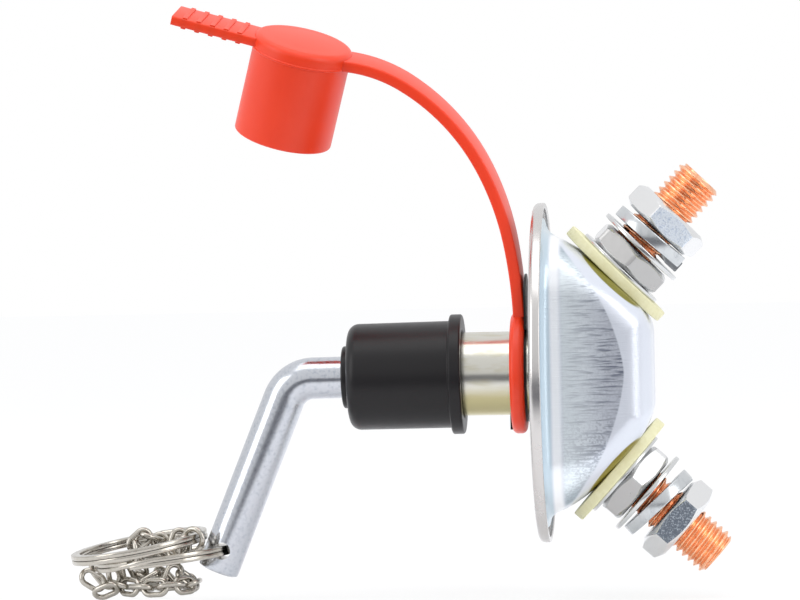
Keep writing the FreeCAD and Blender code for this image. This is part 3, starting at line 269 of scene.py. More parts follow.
def metal(name, code, rough, grain=0.0, size=1.2, stretch=(1, 1, 1), fleck="#9AA0A8",
          flecks=0.0, bump=0.05):
    """A metal whose colour and roughness drift a little, over a size in millimetres."""
    finish = bpy.data.materials.new(name)
    finish.use_nodes = True
    tree = finish.node_tree
    spot = add(tree, "ShaderNodeTexCoord")
    scale = add(tree, "ShaderNodeMapping", Vector=spot.outputs["Object"],
                Scale=[1000.0 / (size * s) for s in stretch])
    noise = add(tree, "ShaderNodeTexNoise", Vector=scale, Scale=1.0, Detail=4.0, Roughness=0.55)
    shade = add(tree, "ShaderNodeMapRange", Value=noise, From_Min=0.5, From_Max=0.72,
                To_Max=flecks)
    blend = add(tree, "ShaderNodeMix", data_type="RGBA", Factor=shade, A=linear(code),
                B=linear(fleck))
    gloss = add(tree, "ShaderNodeMapRange", Value=noise, From_Min=0.25, From_Max=0.75,
                To_Min=max(rough - grain, 0.02), To_Max=rough + grain)
    ripple = add(tree, "ShaderNodeBump", Strength=bump, Distance=0.0002, Height=noise)
    add(tree, "Principled BSDF", Base_Color=blend, Roughness=gloss, Normal=ripple, Metallic=1.0)
    return finish


zinc_sheet = metal("zinc_plated_sheet", "#CDCAC8", 0.24, 0.06, 2.5, bump=0.04)
tree = zinc_sheet.node_tree
base = tree.nodes["Principled BSDF"].inputs["Base Color"].links[0].from_socket
point = add(tree, "ShaderNodeTexCoord")
split = add(tree, "ShaderNodeSeparateXYZ", Vector=point.outputs["Object"])
# Painted shade: the hollow of the turned rim is painted dark
deep = add(tree, "ShaderNodeMapRange", Value=split.outputs["X"], From_Min=0.0009,
           From_Max=0.0014)
off_axis = add(tree, "ShaderNodeCombineXYZ", Y=split.outputs["Y"], Z=split.outputs["Z"])
across = add(tree, "ShaderNodeVectorMath", operation="LENGTH", Vector=off_axis)
inner = add(tree, "ShaderNodeMapRange", Value=across, From_Min=0.03325, From_Max=0.03345,
            To_Min=1.0, To_Max=0.0)
rim_hollow_shade = add(tree, "ShaderNodeMath", operation="MULTIPLY", Value=(deep, inner))
blend = add(tree, "ShaderNodeMix", data_type="RGBA", Factor=rim_hollow_shade, A=base,
            B=linear("#55504C"))
add(tree, "Principled BSDF", Base_Color=blend)

HUB_HOLE = 8.55
FLANGE_RIM = 34.5
TURNED_IN = 33.4
RIM_DEPTH = 2.4
FRONT_FACE = -0.85
FRONT_EDGE = 32.0
BACK_FACE = 0.0
BACK_EDGE = 31.5
outline = [(HUB_HOLE, FRONT_FACE + dome(HUB_HOLE), 0.3)]
for step in range(1, 8):
    radius = HUB_HOLE + (FRONT_EDGE - HUB_HOLE) * step / 8
    outline.append((radius, FRONT_FACE + dome(radius), 0))
outline += [(FLANGE_RIM, 0.15, 2.0), (FLANGE_RIM, RIM_DEPTH, 0.25), (TURNED_IN, RIM_DEPTH, 0.25),
            (TURNED_IN, 1.3, 1.0)]
for step in range(8):
    radius = BACK_EDGE - (BACK_EDGE - HUB_HOLE) * step / 8
    outline.append((radius, BACK_FACE + dome(radius), 0))
outline.append((HUB_HOLE, BACK_FACE + dome(HUB_HOLE), 0.3))
flange = lathe("flange_disc", rounded(outline, steps=8), steps=240)
drill_screws(flange)
flange.data.materials.append(zinc_sheet)
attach(flange, "housing")
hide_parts("mount_flange")

# Rear housing
# Deep drawn from one blank: brim, drafted walls, two sloping faces for the studs and a flat
# back, with round shoulders. The drawing left fine streaks along the walls, and the bends
# were ironed smooth. Their pale tone is a painted highlight.
LEANS = {"upper": 45.0, "lower": 41.9}
SLOPE_X = 15.6
SLOPE_Z = 19.1
SHEET = 1.2
BRIM = 31.5
BRIM_FRONT = 0.02
FOOT_X = 1.4
HALF_TALL = 29.3
HALF_WIDE = 19.5
DRAFT_TALL = math.tan(math.radians(10.5))
DRAFT_WIDE = math.tan(math.radians(5.5))
CORNER = 12.0
BACK = 23.7
ROOF_EDGE = 2.5
SHOULDER = 5.2
HOLLOW_BEND = 2.4


def rounded_meet(fields, radius):
    """Where several half spaces meet, with the edge rounded."""
    pushed = [field + radius for field in fields]
    outside = np.sqrt(sum(np.maximum(field, 0.0) ** 2 for field in pushed))
    inside = np.minimum(np.maximum.reduce(pushed), 0.0)
    return outside + inside - radius


def can_field(x, y, z):
    """Distance, in millimetres, outside the housing's cup; negative inside."""
    tall = HALF_TALL - (x - FOOT_X) * DRAFT_TALL
    wide = HALF_WIDE - (x - FOOT_X) * DRAFT_WIDE
    over_y = np.abs(y) - (wide - CORNER)
    over_z = np.abs(z) - (tall - CORNER)
    wall = np.sqrt(np.maximum(over_y, 0) ** 2 + np.maximum(over_z, 0) ** 2) \
        + np.minimum(np.maximum(over_y, over_z), 0) - CORNER
    slopes = []
    for mark, side in (("upper", z), ("lower", -z)):
        lean = math.radians(LEANS[mark])
        slopes.append((x - SLOPE_X) * math.cos(lean) + (side - SLOPE_Z) * math.sin(lean))
    roof = rounded_meet(slopes + [x - BACK], ROOF_EDGE)
    return rounded_meet([wall, roof], SHOULDER)


def housing_field(x, y, z):
    """The same for the cup and its brim together, with a hollow bend between them."""
    can = can_field(x, y, z)
    across = np.sqrt(y * y + z * z)
    brim = rounded_meet([x - (BRIM_FRONT + SHEET + dome(across)), across - BRIM], 0.45)
    near = np.clip(0.5 + 0.5 * (brim - can) / HOLLOW_BEND, 0, 1)
    return brim * (1 - near) + can * near - HOLLOW_BEND * near * (1 - near)


around = 288
turn = np.linspace(0, 2 * math.pi, around, endpoint=False)[:, None]
START_X = -1.0


def reach_to(field, limit, swing):
    """Where rays from the axis, in front of the sheet, first leave the shape."""
    low = np.full((around, swing.size), 2.0)
    high = np.full((around, swing.size), 60.0)
    for _ in range(26):
        middle = (low + high) / 2
        across = middle * np.sin(swing)
        within = field(START_X + middle * np.cos(swing), across * np.cos(turn),
                       across * np.sin(turn)) < limit
        low = np.where(within, middle, low)
        high = np.where(within, high, middle)
    return START_X + low * np.cos(swing), low * np.sin(swing)


def evenly(line_x, line_r, count):
    """The same line from the axis outward, with its points evenly spaced."""
    step = np.hypot(np.diff(line_x), np.diff(line_r))
    length = np.concatenate([[0], np.cumsum(step)])
    at = np.linspace(0, length[-1], count)
    radius = np.interp(at, length, line_r)
    radius[0] = 0.0
    return list(zip(np.interp(at, length, line_x), radius))


# Rays stand closest together where they graze the brim
over_brim = np.linspace(1.3603, 1.497, 401)[1:]
outer_x, outer_r = reach_to(housing_field, 0.0,
                            np.concatenate([np.linspace(0.0, 1.36, 500), over_brim])[None, :])
inner_x, inner_r = reach_to(can_field, -SHEET, np.linspace(0, 1.53, 400)[None, :])
points = []
for index in range(around):
    angle = turn[index, 0]
    line = evenly(outer_x[index], outer_r[index], 150)
    line.append((BRIM_FRONT + dome(31.2), 31.2))
    # The inside of the sheet follows the outside down to the open front
    keep = inner_x[index] > BRIM_FRONT + dome(inner_r[index])
    line += evenly(inner_x[index][keep], inner_r[index][keep], 70)[::-1]
    for along, across in line:
        points.append((along, across * math.cos(angle), across * math.sin(angle)))
total = len(line)
faces = []
for index in range(around):
    after = (index + 1) % around
    for step in range(total - 1):
        faces.append((index * total + step, after * total + step,
                      after * total + step + 1, index * total + step + 1))
housing = finish_mesh("drawn_housing", points, faces, sharp=60.0)
weld = bmesh.new()
weld.from_mesh(housing.data)
bmesh.ops.remove_doubles(weld, verts=weld.verts, dist=1e-6)
bmesh.ops.recalc_face_normals(weld, faces=weld.faces)
weld.to_mesh(housing.data)
weld.free()
drill_screws(housing)

drawn = bpy.data.materials.new("drawn_zinc_plated_steel")
drawn.use_nodes = True
tree = drawn.node_tree
spot = add(tree, "ShaderNodeTexCoord")
where = spot.outputs["Object"]
place = add(tree, "ShaderNodeSeparateXYZ", Vector=where)
facing = add(tree, "ShaderNodeSeparateXYZ", Vector=spot.outputs["Normal"])
sideways = add(tree, "ShaderNodeMath", operation="ABSOLUTE", Value=facing.outputs["Y"])
# The marks lie on the side walls, from the foot's bend to where the shoulders begin
level = add(tree, "ShaderNodeMapRange", interpolation_type="SMOOTHSTEP", Value=sideways,
            From_Min=0.20, From_Max=0.36)
behind = add(tree, "ShaderNodeMapRange", interpolation_type="SMOOTHSTEP",
             Value=place.outputs["X"], From_Min=0.0054, From_Max=0.0064)
field = add(tree, "ShaderNodeMath", operation="MULTIPLY", Value=(level, behind))
# They end 7 mm past three planes that lie inside the back and the two slopes
squares = []
for lean, limit in ((0.0, 11.4), (37.5, 13.38), (-34.7, 13.66)):
    lean = math.radians(lean)
    toward = add(tree, "ShaderNodeVectorMath", operation="DOT_PRODUCT",
                 Vector=(where, (math.cos(lean) / MM, 0.0, math.sin(lean) / MM)))
    past = add(tree, "ShaderNodeMath", operation="SUBTRACT", Value=(toward, limit))
    past = add(tree, "ShaderNodeMath", operation="MAXIMUM", Value=(past, 0.0))
    squares.append(add(tree, "ShaderNodeMath", operation="MULTIPLY", Value=(past, past)))
total = add(tree, "ShaderNodeMath", operation="ADD", Value=squares[:2])
total = add(tree, "ShaderNodeMath", operation="ADD", Value=(total, squares[2]))
past = add(tree, "ShaderNodeMath", operation="SQRT", Value=total)
short_of = add(tree, "ShaderNodeMapRange", interpolation_type="SMOOTHSTEP", Value=past,
               From_Min=6.75, From_Max=7.25, To_Min=1.0, To_Max=0.0)
field = add(tree, "ShaderNodeMath", operation="MULTIPLY", Value=(field, short_of))
# Real drawing streaks are finer; these are 0.34 mm apart and 7 mm long so that they show
patterns = []
for size, detail in (((7.0, 0.5, 0.34), 3.0), ((0.5, 0.5, 0.5), 4.0), ((6.0, 9.0, 9.0), 2.0)):
    scale = add(tree, "ShaderNodeMapping", Vector=where, Scale=[1000 / s for s in size])
    patterns.append(add(tree, "ShaderNodeTexNoise", Vector=scale, Scale=1.0, Detail=detail))
streaks, speckle, patches = patterns
rearward = add(tree, "ShaderNodeMapRange", interpolation_type="SMOOTHSTEP",
               Value=place.outputs["X"], From_Min=0.006, From_Max=0.0185, To_Min=0.25)
streaked = add(tree, "ShaderNodeMapRange", interpolation_type="SMOOTHSTEP", Value=streaks,
               From_Min=0.46, From_Max=0.66)
streaked = add(tree, "ShaderNodeMath", operation="MULTIPLY", Value=(streaked, rearward))
low_side = add(tree, "ShaderNodeMapRange", interpolation_type="SMOOTHSTEP",
               Value=place.outputs["Z"], From_Min=-0.020, From_Max=-0.004, To_Min=1.0, To_Max=0.25)
grain = add(tree, "ShaderNodeMapRange", interpolation_type="SMOOTHSTEP", Value=speckle,
            From_Min=0.44, From_Max=0.62)
grain = add(tree, "ShaderNodeMath", operation="MULTIPLY", Value=(grain, low_side))
grain = add(tree, "ShaderNodeMath", operation="MULTIPLY", Value=(grain, rearward))
marks = add(tree, "ShaderNodeMath", operation="MAXIMUM", Value=(streaked, grain))
patchy = add(tree, "ShaderNodeMapRange", interpolation_type="SMOOTHSTEP", Value=patches,
             From_Min=0.30, From_Max=0.56, To_Min=0.35)
marks = add(tree, "ShaderNodeMath", operation="MULTIPLY", Value=(marks, patchy))
# Painted reflection and shade: the walls are painted bluish near the brim, and duller where they
# turn up or down and toward the back
shade = add(tree, "ShaderNodeMapRange", interpolation_type="SMOOTHSTEP",
            Value=place.outputs["X"], From_Min=0.005, From_Max=0.018)
wall_tone = add(tree, "ShaderNodeMix", data_type="RGBA", Factor=shade, A=linear("#EEF6FA"),
                B=linear("#DDE1EA"))
shade = add(tree, "ShaderNodeMapRange", interpolation_type="SMOOTHSTEP", Value=sideways,
            From_Min=0.3, From_Max=0.9)
wall_tone = add(tree, "ShaderNodeMix", data_type="RGBA", Factor=shade, A=linear("#AFBDC6"),
                B=wall_tone)
shade = add(tree, "ShaderNodeMapRange", interpolation_type="SMOOTHSTEP",
            Value=place.outputs["X"], From_Min=0.0095, From_Max=0.0165, To_Max=0.28)
wall_tone = add(tree, "ShaderNodeMix", data_type="RGBA", Factor=shade, A=wall_tone,
                B=linear("#959BAA"))
wall_tone = add(tree, "ShaderNodeMix", data_type="RGBA", Factor=marks, A=wall_tone,
                B=linear("#7A8090"))
# Painted reflection and highlight: the brim is painted light blue, the foot's bend nearly white,
# the shoulders pale grey
shade = add(tree, "ShaderNodeMapRange", interpolation_type="SMOOTHSTEP",
            Value=place.outputs["X"], From_Min=0.0032, From_Max=0.0042)
bend_painted_light = add(tree, "ShaderNodeMix", data_type="RGBA", Factor=shade, A=linear("#C6D6E0"),
                B=linear("#DBDFE8"))
rise = add(tree, "ShaderNodeMapRange", interpolation_type="SMOOTHSTEP",
           Value=place.outputs["X"], From_Min=0.0034, From_Max=0.0042)
drop = add(tree, "ShaderNodeMapRange", interpolation_type="SMOOTHSTEP",
           Value=place.outputs["X"], From_Min=0.0050, From_Max=0.0062, To_Min=1.0, To_Max=0.0)
bend_painted_highlight = add(tree, "ShaderNodeMath", operation="MULTIPLY", Value=(rise, drop))
bend_painted_light = add(tree, "ShaderNodeMix", data_type="RGBA", Factor=bend_painted_highlight, A=bend_painted_light,
                B=linear("#FCFDFF"))
tone = add(tree, "ShaderNodeMix", data_type="RGBA", Factor=field, A=bend_painted_light, B=wall_tone)
# Painted reflection and shadow: a dark olive lens, the fibre washers' reflection and shadow, is
# painted on the slopes' edges
off_middle = add(tree, "ShaderNodeMath", operation="ABSOLUTE", Value=place.outputs["Y"])
off_middle = add(tree, "ShaderNodeMapRange", interpolation_type="SMOOTHSTEP", Value=off_middle,
                 From_Min=0.0085, From_Max=0.0105)
LENS_HALF_LONG = 8.6
LENS_HALF_HIGH = 1.25
for mark, sign, olive in (("upper", 1, "#8A8432"), ("lower", -1, "#8C7F1E")):
    lean = math.radians(LEANS[mark])
    shares = []
    for share_x, share_z, half in ((math.cos(lean), sign * math.sin(lean), LENS_HALF_HIGH),
                                   (math.sin(lean), -sign * math.cos(lean), LENS_HALF_LONG)):
        toward = add(tree, "ShaderNodeVectorMath", operation="DOT_PRODUCT",
                     Vector=(where, (share_x / half / MM, 0.0, share_z / half / MM)))
        middle = (SLOPE_X * share_x + sign * SLOPE_Z * share_z) / half
        share = add(tree, "ShaderNodeMath", operation="SUBTRACT", Value=(toward, middle))
        shares.append(add(tree, "ShaderNodeMath", operation="MULTIPLY", Value=(share, share)))
    round_off = add(tree, "ShaderNodeMath", operation="ADD", Value=shares)
    painted_lens_share = add(tree, "ShaderNodeMapRange", interpolation_type="SMOOTHSTEP",
                     Value=round_off, From_Min=0.75, From_Max=1.05, To_Min=1.0, To_Max=0.0)
    painted_lens_share = add(tree, "ShaderNodeMath", operation="MULTIPLY", Value=(painted_lens_share, off_middle))
    tone = add(tree, "ShaderNodeMix", data_type="RGBA", Factor=painted_lens_share, A=tone,
               B=linear(olive))
gloss = add(tree, "ShaderNodeMapRange", interpolation_type="SMOOTHSTEP", Value=field,
            To_Min=0.28, To_Max=0.36)
sheen = add(tree, "ShaderNodeMapRange", interpolation_type="SMOOTHSTEP", Value=field,
            To_Min=0.45, To_Max=1.0)
ripple = add(tree, "ShaderNodeBump", Strength=0.16, Distance=0.0002, Height=streaks)
add(tree, "Principled BSDF", Base_Color=tone, Roughness=gloss, Metallic=sheen, Normal=ripple)
housing.data.materials.append(drawn)
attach(housing, "housing")
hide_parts("rear_housing")

# Key hub
# A turned steel tube staked through the flange, zinc plated with a faint yellow passivation;
# its colour turns darker and yellower towards its underside; a slot across its bore lets the
# key's lugs in.
HUB_FRONT = -21.6
HUB_OUTER = 8.5
HUB_BORE = 4.55
zinc_turned = metal("zinc_plated_turned_steel", "#CFCDC4", 0.22, 0.06, 1.5, (4, 1, 1),
                    "#B9B28F", 0.5, 0.05)
tree = zinc_turned.node_tree
base = tree.nodes["Principled BSDF"].inputs["Base Color"].links[0].from_socket
spot = add(tree, "ShaderNodeTexCoord")
split = add(tree, "ShaderNodeSeparateXYZ", Vector=spot.outputs["Object"])
# Darker and yellower towards the underside
under = add(tree, "ShaderNodeMapRange", interpolation_type="SMOOTHSTEP",
            Value=split.outputs["Z"], From_Min=-0.0052, From_Max=-0.0018, To_Min=1.0, To_Max=0.0)
blend = add(tree, "ShaderNodeMix", data_type="RGBA", Factor=under, A=base, B=linear("#BBB389"))
add(tree, "Principled BSDF", Base_Color=blend)
hub = lathe("hub_tube", rounded([
    (HUB_BORE, HUB_FRONT, 0.4), (HUB_OUTER, HUB_FRONT, 0.5), (HUB_OUTER, 0.12, 0),
    (10.5, 0.12, 0.2), (10.5, 1.5, 0.3), (6.7, 1.5, 0.1), (6.7, -6.8, 0.1),
    (HUB_BORE, -6.8, 0.1)]))
SLOT_HALF_LONG = 6.45
SLOT_HALF_WIDE = 1.8
slot = bpy.data.meshes.new("slot")
slot.from_pydata([(x * MM, y * MM, z * MM) for x in (-22.6, -6.6)
                  for y in (-SLOT_HALF_LONG, SLOT_HALF_LONG)
                  for z in (-SLOT_HALF_WIDE, SLOT_HALF_WIDE)], [],
                 [(0, 1, 3, 2), (4, 6, 7, 5), (0, 4, 5, 1), (2, 3, 7, 6), (0, 2, 6, 4),
                  (1, 5, 7, 3)])
slot = bpy.data.objects.new("slot", slot)
scene.collection.objects.link(slot)
cut(hub, slot)
hub.data.materials.append(zinc_turned)
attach(hub, "housing")
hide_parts("key_hub")

# Copper studs
# Cold headed copper, thread M10 by 1.5 rolled along the shank; the head bears on the inside
# of the housing. Bright copper, a little mottled where it has begun to darken.
PITCH = 1.5
CREST = 4.94
ROOT = 4.05
TIPS = {"upper": 27.2, "lower": 27.6}


def stud_frame(lean, sign):
    """Where a stud leaves its sloping face; local Z runs outward along the stud."""
    axis = Vector((math.cos(math.radians(lean)), 0, sign * math.sin(math.radians(lean))))
    across = Vector((axis.z, 0, -axis.x))
    turn = Matrix((across, (0, 1, 0), axis)).transposed().to_4x4()
    return Matrix.Translation(Vector((SLOPE_X, 0, sign * SLOPE_Z)) * MM) @ turn


STUDS = {"upper": stud_frame(LEANS["upper"], 1), "lower": stud_frame(LEANS["lower"], -1)}


def threaded(name, low, high, place, start, steps=60):
    """A rolled thread with a bevelled end, plain below its start."""
    rows = int(round((high - low) / (PITCH / 12)))
    points = []
    for row in range(rows + 1):
        along = low + (high - low) * row / rows
        for step in range(steps):
            angle = 2 * math.pi * step / steps
            phase = ((along - low) / PITCH - step / steps) % 1.0
            wave = min(max((abs(2 * phase - 1) - 0.12) / 0.72, 0.0), 1.0)
            radius = ROOT + (CREST - ROOT) * wave
            radius = min(radius, CREST - 0.9 * max(0.0, along - (high - 0.8)) / 0.8)
            if along < start:
                radius = CREST - 0.02
            points.append((radius * math.cos(angle), radius * math.sin(angle), along))
    faces = []
    for row in range(rows):
        for step in range(steps):
            after = (step + 1) % steps
            faces.append((row * steps + step, row * steps + after,
                          (row + 1) * steps + after, (row + 1) * steps + step))
    faces.append(tuple(range(steps)))
    faces.append(tuple(range(rows * steps, (rows + 1) * steps)))
    return finish_mesh(name, points, faces, place, 50.0)


copper = metal("copper", "#FBC09A", 0.28, 0.08, 0.9, (1, 1, 1), "#E58F60", 0.7, 0.12)
# The thread has play in the nuts, so a stud can stand a little off the nuts' axis
PLAY = {"upper": (-0.65, -0.6), "lower": (0.15, 0.0)}
for mark, place in STUDS.items():
    aside, lean = PLAY[mark]
    leaning = place @ Matrix.Translation((aside * MM, 0, 0)) \
        @ Matrix.Rotation(math.radians(lean), 4, "Y")
    shank = threaded(f"stud_thread_{mark}", -3.3, TIPS[mark], leaning, 1.6)
    head = lathe(f"stud_head_{mark}", rounded([(0.01, -7.2, 0), (8.0, -7.2, 0.5), (8.0, -3.2, 0.5),
                 (0.01, -3.2, 0)], False), place, 72, False)
    for piece in (shank, head):
        piece.data.materials.append(copper)
        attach(piece, "housing")
    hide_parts(f"terminal_stud_{mark}")

# Washers on the studs
# Punched discs: a thick one of pale vulcanised fibre under each jam nut, dry and faintly
# fleeced, and thin zinc plated steel ones above it.
fibre = bpy.data.materials.new("vulcanised_fibre")
fibre.use_nodes = True
tree = fibre.node_tree
FIBRE_FLECK = 1.11
spot = add(tree, "ShaderNodeTexCoord")
scale = add(tree, "ShaderNodeMapping", Vector=spot.outputs["Object"],
            Scale=[1000 / FIBRE_FLECK] * 3)
noise = add(tree, "ShaderNodeTexNoise", Vector=scale, Scale=1.0, Detail=5.0)
blend = add(tree, "ShaderNodeMix", data_type="RGBA", Factor=noise, A=linear("#F1EDC9"),
            B=linear("#DED9A6"))
ripple = add(tree, "ShaderNodeBump", Strength=0.15, Distance=0.0002, Height=noise)
add(tree, "Principled BSDF", Base_Color=blend, Roughness=0.55, Normal=ripple)
zinc_washer = metal("zinc_plated_washer", "#D2D3D3", 0.20, 0.05, 1.3, bump=0.05)


def disc(name, inner, outer, low, high, ease, place):
    """A punched ring with its edges eased."""
    return lathe(name, rounded([(inner, low, ease), (outer, low, ease), (outer, high, ease),
                                (inner, high, ease)], steps=3), place, 96)


for mark, place in STUDS.items():
    for name, inner, outer, low, high, ease, finish, node in (
            ("fibre_disc", 6.7, 12.85, 0.0, 2.2, 0.25, fibre, "fibre_washer"),
            ("plain_disc", 5.25, 9.8, 2.2, 3.0, 0.15, zinc_washer, "plain_washer"),
            ("thin_disc", 5.25, 9.5, 8.1, 9.0, 0.2, zinc_washer, "thin_washer")):
        piece = disc(f"{name}_{mark}", inner, outer, low, high, ease, place)
        piece.data.materials.append(finish)
        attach(piece, "housing")
        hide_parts(f"{node}_{mark}")

# Nuts
# Hexagon nuts, 16 mm across flats, both faces bevelled and zinc plated. Some flats of the jam
# nuts are painted darker, as painted shade; one flat of each outer nut is rough from shearing.
zinc_nut = metal("zinc_plated_nut", "#E2E2E2", 0.20, 0.04, 2.2, bump=0.03)
# Painted shade: a darker copy of the nuts' zinc, for some flats of the jam nuts
zinc_painted_shade = metal("painted_shade_zinc_flat", "#B2B1B0", 0.24, 0.05, 2.0, bump=0.04)
zinc_rough = metal("sheared_zinc_plated_flat", "#69707A", 0.42, 0.14, 0.28, (1, 1, 1),
                   "#B9C0C8", 1.0, 0.9)
zinc_rough_pale = metal("rough_zinc_plated_flat", "#E9F0F8", 0.36, 0.12, 0.4, (1, 1, 1),
                        "#B4C1D4", 1.0, 0.6)
# This flat is frosted with white zinc salts, which scatter light as paint does
add(zinc_rough_pale.node_tree, "Principled BSDF", Metallic=0.55)
HALF_FLATS = 8.0
WORN_CORNER = 9.12
NUT_FACE = 7.35


def nut(name, low, high, turn, place, odd_flats, odd_finish):
    """A hexagon nut; its flats are counted from its first corner."""
    steps = 144
    points = []
    for step in range(steps):
        degrees = 360.0 * step / steps
        off = abs((degrees % 60.0) - 30.0)
        reach = min(HALF_FLATS / math.cos(math.radians(off)), WORN_CORNER)
        fall = (reach - NUT_FACE) * math.tan(math.radians(30))
        line = [(4.95, low + 0.5), (5.35, low + 0.05), (5.6, low), (NUT_FACE, low),
                (reach - 0.1, low + fall - 0.03), (reach, low + fall + 0.1),
                (reach, high - fall - 0.1), (reach - 0.1, high - fall + 0.03),
                (NUT_FACE, high), (5.6, high), (5.35, high - 0.05), (4.95, high - 0.5)]
        angle = math.radians(turn + degrees)
        for across, along in line:
            points.append((across * math.cos(angle), across * math.sin(angle), along))
    count = len(line)
    flat_line = 5
    faces = []
    marks = []
    for step in range(steps):
        after = (step + 1) % steps
        flat = int(360.0 * (step + 0.5) / steps // 60)
        for index in range(count):
            follow = (index + 1) % count
            faces.append((step * count + index, after * count + index,
                          after * count + follow, step * count + follow))
            marks.append(1 if flat in odd_flats and index == flat_line else 0)
    item = finish_mesh(name, points, faces, place, 24.0)
    item.data.materials.append(zinc_nut)
    item.data.materials.append(odd_finish)
    item.data.polygons.foreach_set("material_index", marks)
    return item


for mark, turn, painted_flats in (("upper", 36.0, (3, 4, 5)), ("lower", 24.0, (4,))):
    jam = nut(f"jam_hex_{mark}", 3.0, 7.7, turn, STUDS[mark], painted_flats, zinc_painted_shade)
    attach(jam, "housing")
    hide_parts(f"jam_nut_{mark}")
for mark, low, turn, finish in (("upper", 13.2, 13.0, zinc_rough_pale),
                                ("lower", 14.0, 0.0, zinc_rough)):
    outer = nut(f"outer_hex_{mark}", low, low + 5.2, turn, STUDS[mark], (4,), finish)
    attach(outer, "housing")
    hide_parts(f"terminal_nut_{mark}")

# Spring washers
# One turn of flat spring steel, cut through, its ends standing apart; zinc plated. They lie
# loose between the nuts, so they lean on one edge.
spring_steel = metal("zinc_plated_spring_steel", "#C9CCCE", 0.24, 0.06, 1.4, (1, 1, 3),
                     "#9BA1A6", 0.4, 0.06)


def swept(name, path, section, side, closed=False, place=None, taper=None):
    """Carry a section, given as (along side, outward), down a path."""
    count = len(section)
    points = []
    total = len(path)
    for index in range(total):
        before = path[index - 1] if (closed or index > 0) else path[index]
        after = path[(index + 1) % total] if (closed or index < total - 1) else path[index]
        ahead = (Vector(after) - Vector(before)).normalized()
        sideways = Vector(side(index) if callable(side) else side)
        sideways = (sideways - ahead * ahead.dot(sideways)).normalized()
        outward = ahead.cross(sideways)
        grow = 1.0 if taper is None else taper[index]
        for a, b in section:
            points.append(Vector(path[index]) + (sideways * a + outward * b) * grow)
    faces = []
    for index in range(total if closed else total - 1):
        after = (index + 1) % total
        for step in range(count):
            follow = (step + 1) % count
            faces.append((index * count + step, index * count + follow,
                          after * count + follow, after * count + step))
    if not closed:
        faces.append(tuple(range(count)))
        faces.append(tuple(range((total - 1) * count, total * count)))
    return finish_mesh(name, points, faces, place, 40.0)


def bar_section(half_wide, half_thick, ease, steps=3):
    """A flat bar's cross section with eased corners."""
    return rounded([(-half_wide, -half_thick, ease), (half_wide, -half_thick, ease),
                    (half_wide, half_thick, ease), (-half_wide, half_thick, ease)], steps=steps)


def round_section(radius, sides):
    """A round bar's cross section."""
    angles = [2 * math.pi * k / sides for k in range(sides)]
    return [(radius * math.cos(angle), radius * math.sin(angle)) for angle in angles]


WASHER_MIDDLE = 6.95
for mark, middle, lean, rise, base in (("upper", 11.15, -1.5, 1.1, 0.0),
                                       ("lower", 11.55, 6.4, 0.5, 180.0)):
    path = []
    for step in range(73):
        angle = math.radians(base + 346.0 * step / 72)
        path.append((WASHER_MIDDLE * math.cos(angle), WASHER_MIDDLE * math.sin(angle),
                     rise * (step / 72 - 0.5)))
    tilt = STUDS[mark] @ Matrix.Translation((0, 0, middle * MM)) \
        @ Matrix.Rotation(math.radians(lean), 4, "Y")
    piece = swept(f"split_washer_{mark}", path, bar_section(1.2, 1.5, 0.25), (0, 0, 1), place=tilt)
    piece.data.materials.append(spring_steel)
    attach(piece, "housing")
    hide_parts(f"spring_washer_{mark}")

# Key
# One round steel bar, bent cold and zinc plated; the leg is drilled for the ring. The inner end
# is drilled for the cross pin on the real key, but left whole here. The plating is bright, with
# small duller flecks.
zinc_bar = metal("zinc_plated_bar", "#C6C9CF", 0.19, 0.06, 0.7, (1, 1, 1), "#9CA4B0", 0.5, 0.06)
BAR = 4.25
BEND = math.radians(67.0)
BEND_RADIUS = 6.7
corner = Vector((-50.2, 0, 0))
leg = Vector((-math.cos(BEND), 0, -math.sin(BEND)))
# The key has play in the hub, so it hangs a little low, with all that it carries
SAG = Matrix.Translation((-0.015, 0, 0)) @ Matrix.Rotation(math.radians(-0.6), 4, "Y") \
    @ Matrix.Translation((0.015, 0, 0))
path = [Vector((x, 0, 0)) for x in (-1.0, -10.0, -20.0, -30.0, -40.0, -44.0)]
bend_start = corner.x + BEND_RADIUS * math.tan(BEND / 2)
for step in range(25):
    angle = BEND * step / 24
    path.append(Vector((bend_start - BEND_RADIUS * math.sin(angle), 0,
                        BEND_RADIUS * (math.cos(angle) - 1))))
for along in (8.0, 12.0, 20.0, 30.0, 34.0, 37.6, 40.0, 41.3, 42.0, 42.3):
    path.append(corner + leg * along)
taper = [0.9] + [1.0] * (len(path) - 3) + [0.97, 0.82]
rod = swept("key_bar", path, round_section(BAR, 48), (0, 1, 0), taper=taper)
eye = corner + leg * 37.6
through = Matrix.Translation((eye + Vector((-0.35, 0, 0))) * MM) \
    @ Matrix.Rotation(math.radians(90), 4, "X")
cut(rod, lathe("drill", [(0.0, -8.0), (1.75, -8.0), (1.75, 8.0), (0.0, 8.0)], through, 40, False))
rod.data.transform(SAG)
rod.data.materials.append(zinc_bar)
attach(rod, "key")
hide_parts("key_rod")


def dress(node, finish):
    """Give a solid that is shown as it is its finish."""
    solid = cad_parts[node]
    solid.data.materials.clear()
    solid.data.materials.append(finish)


dress("cross_pin", spring_steel)

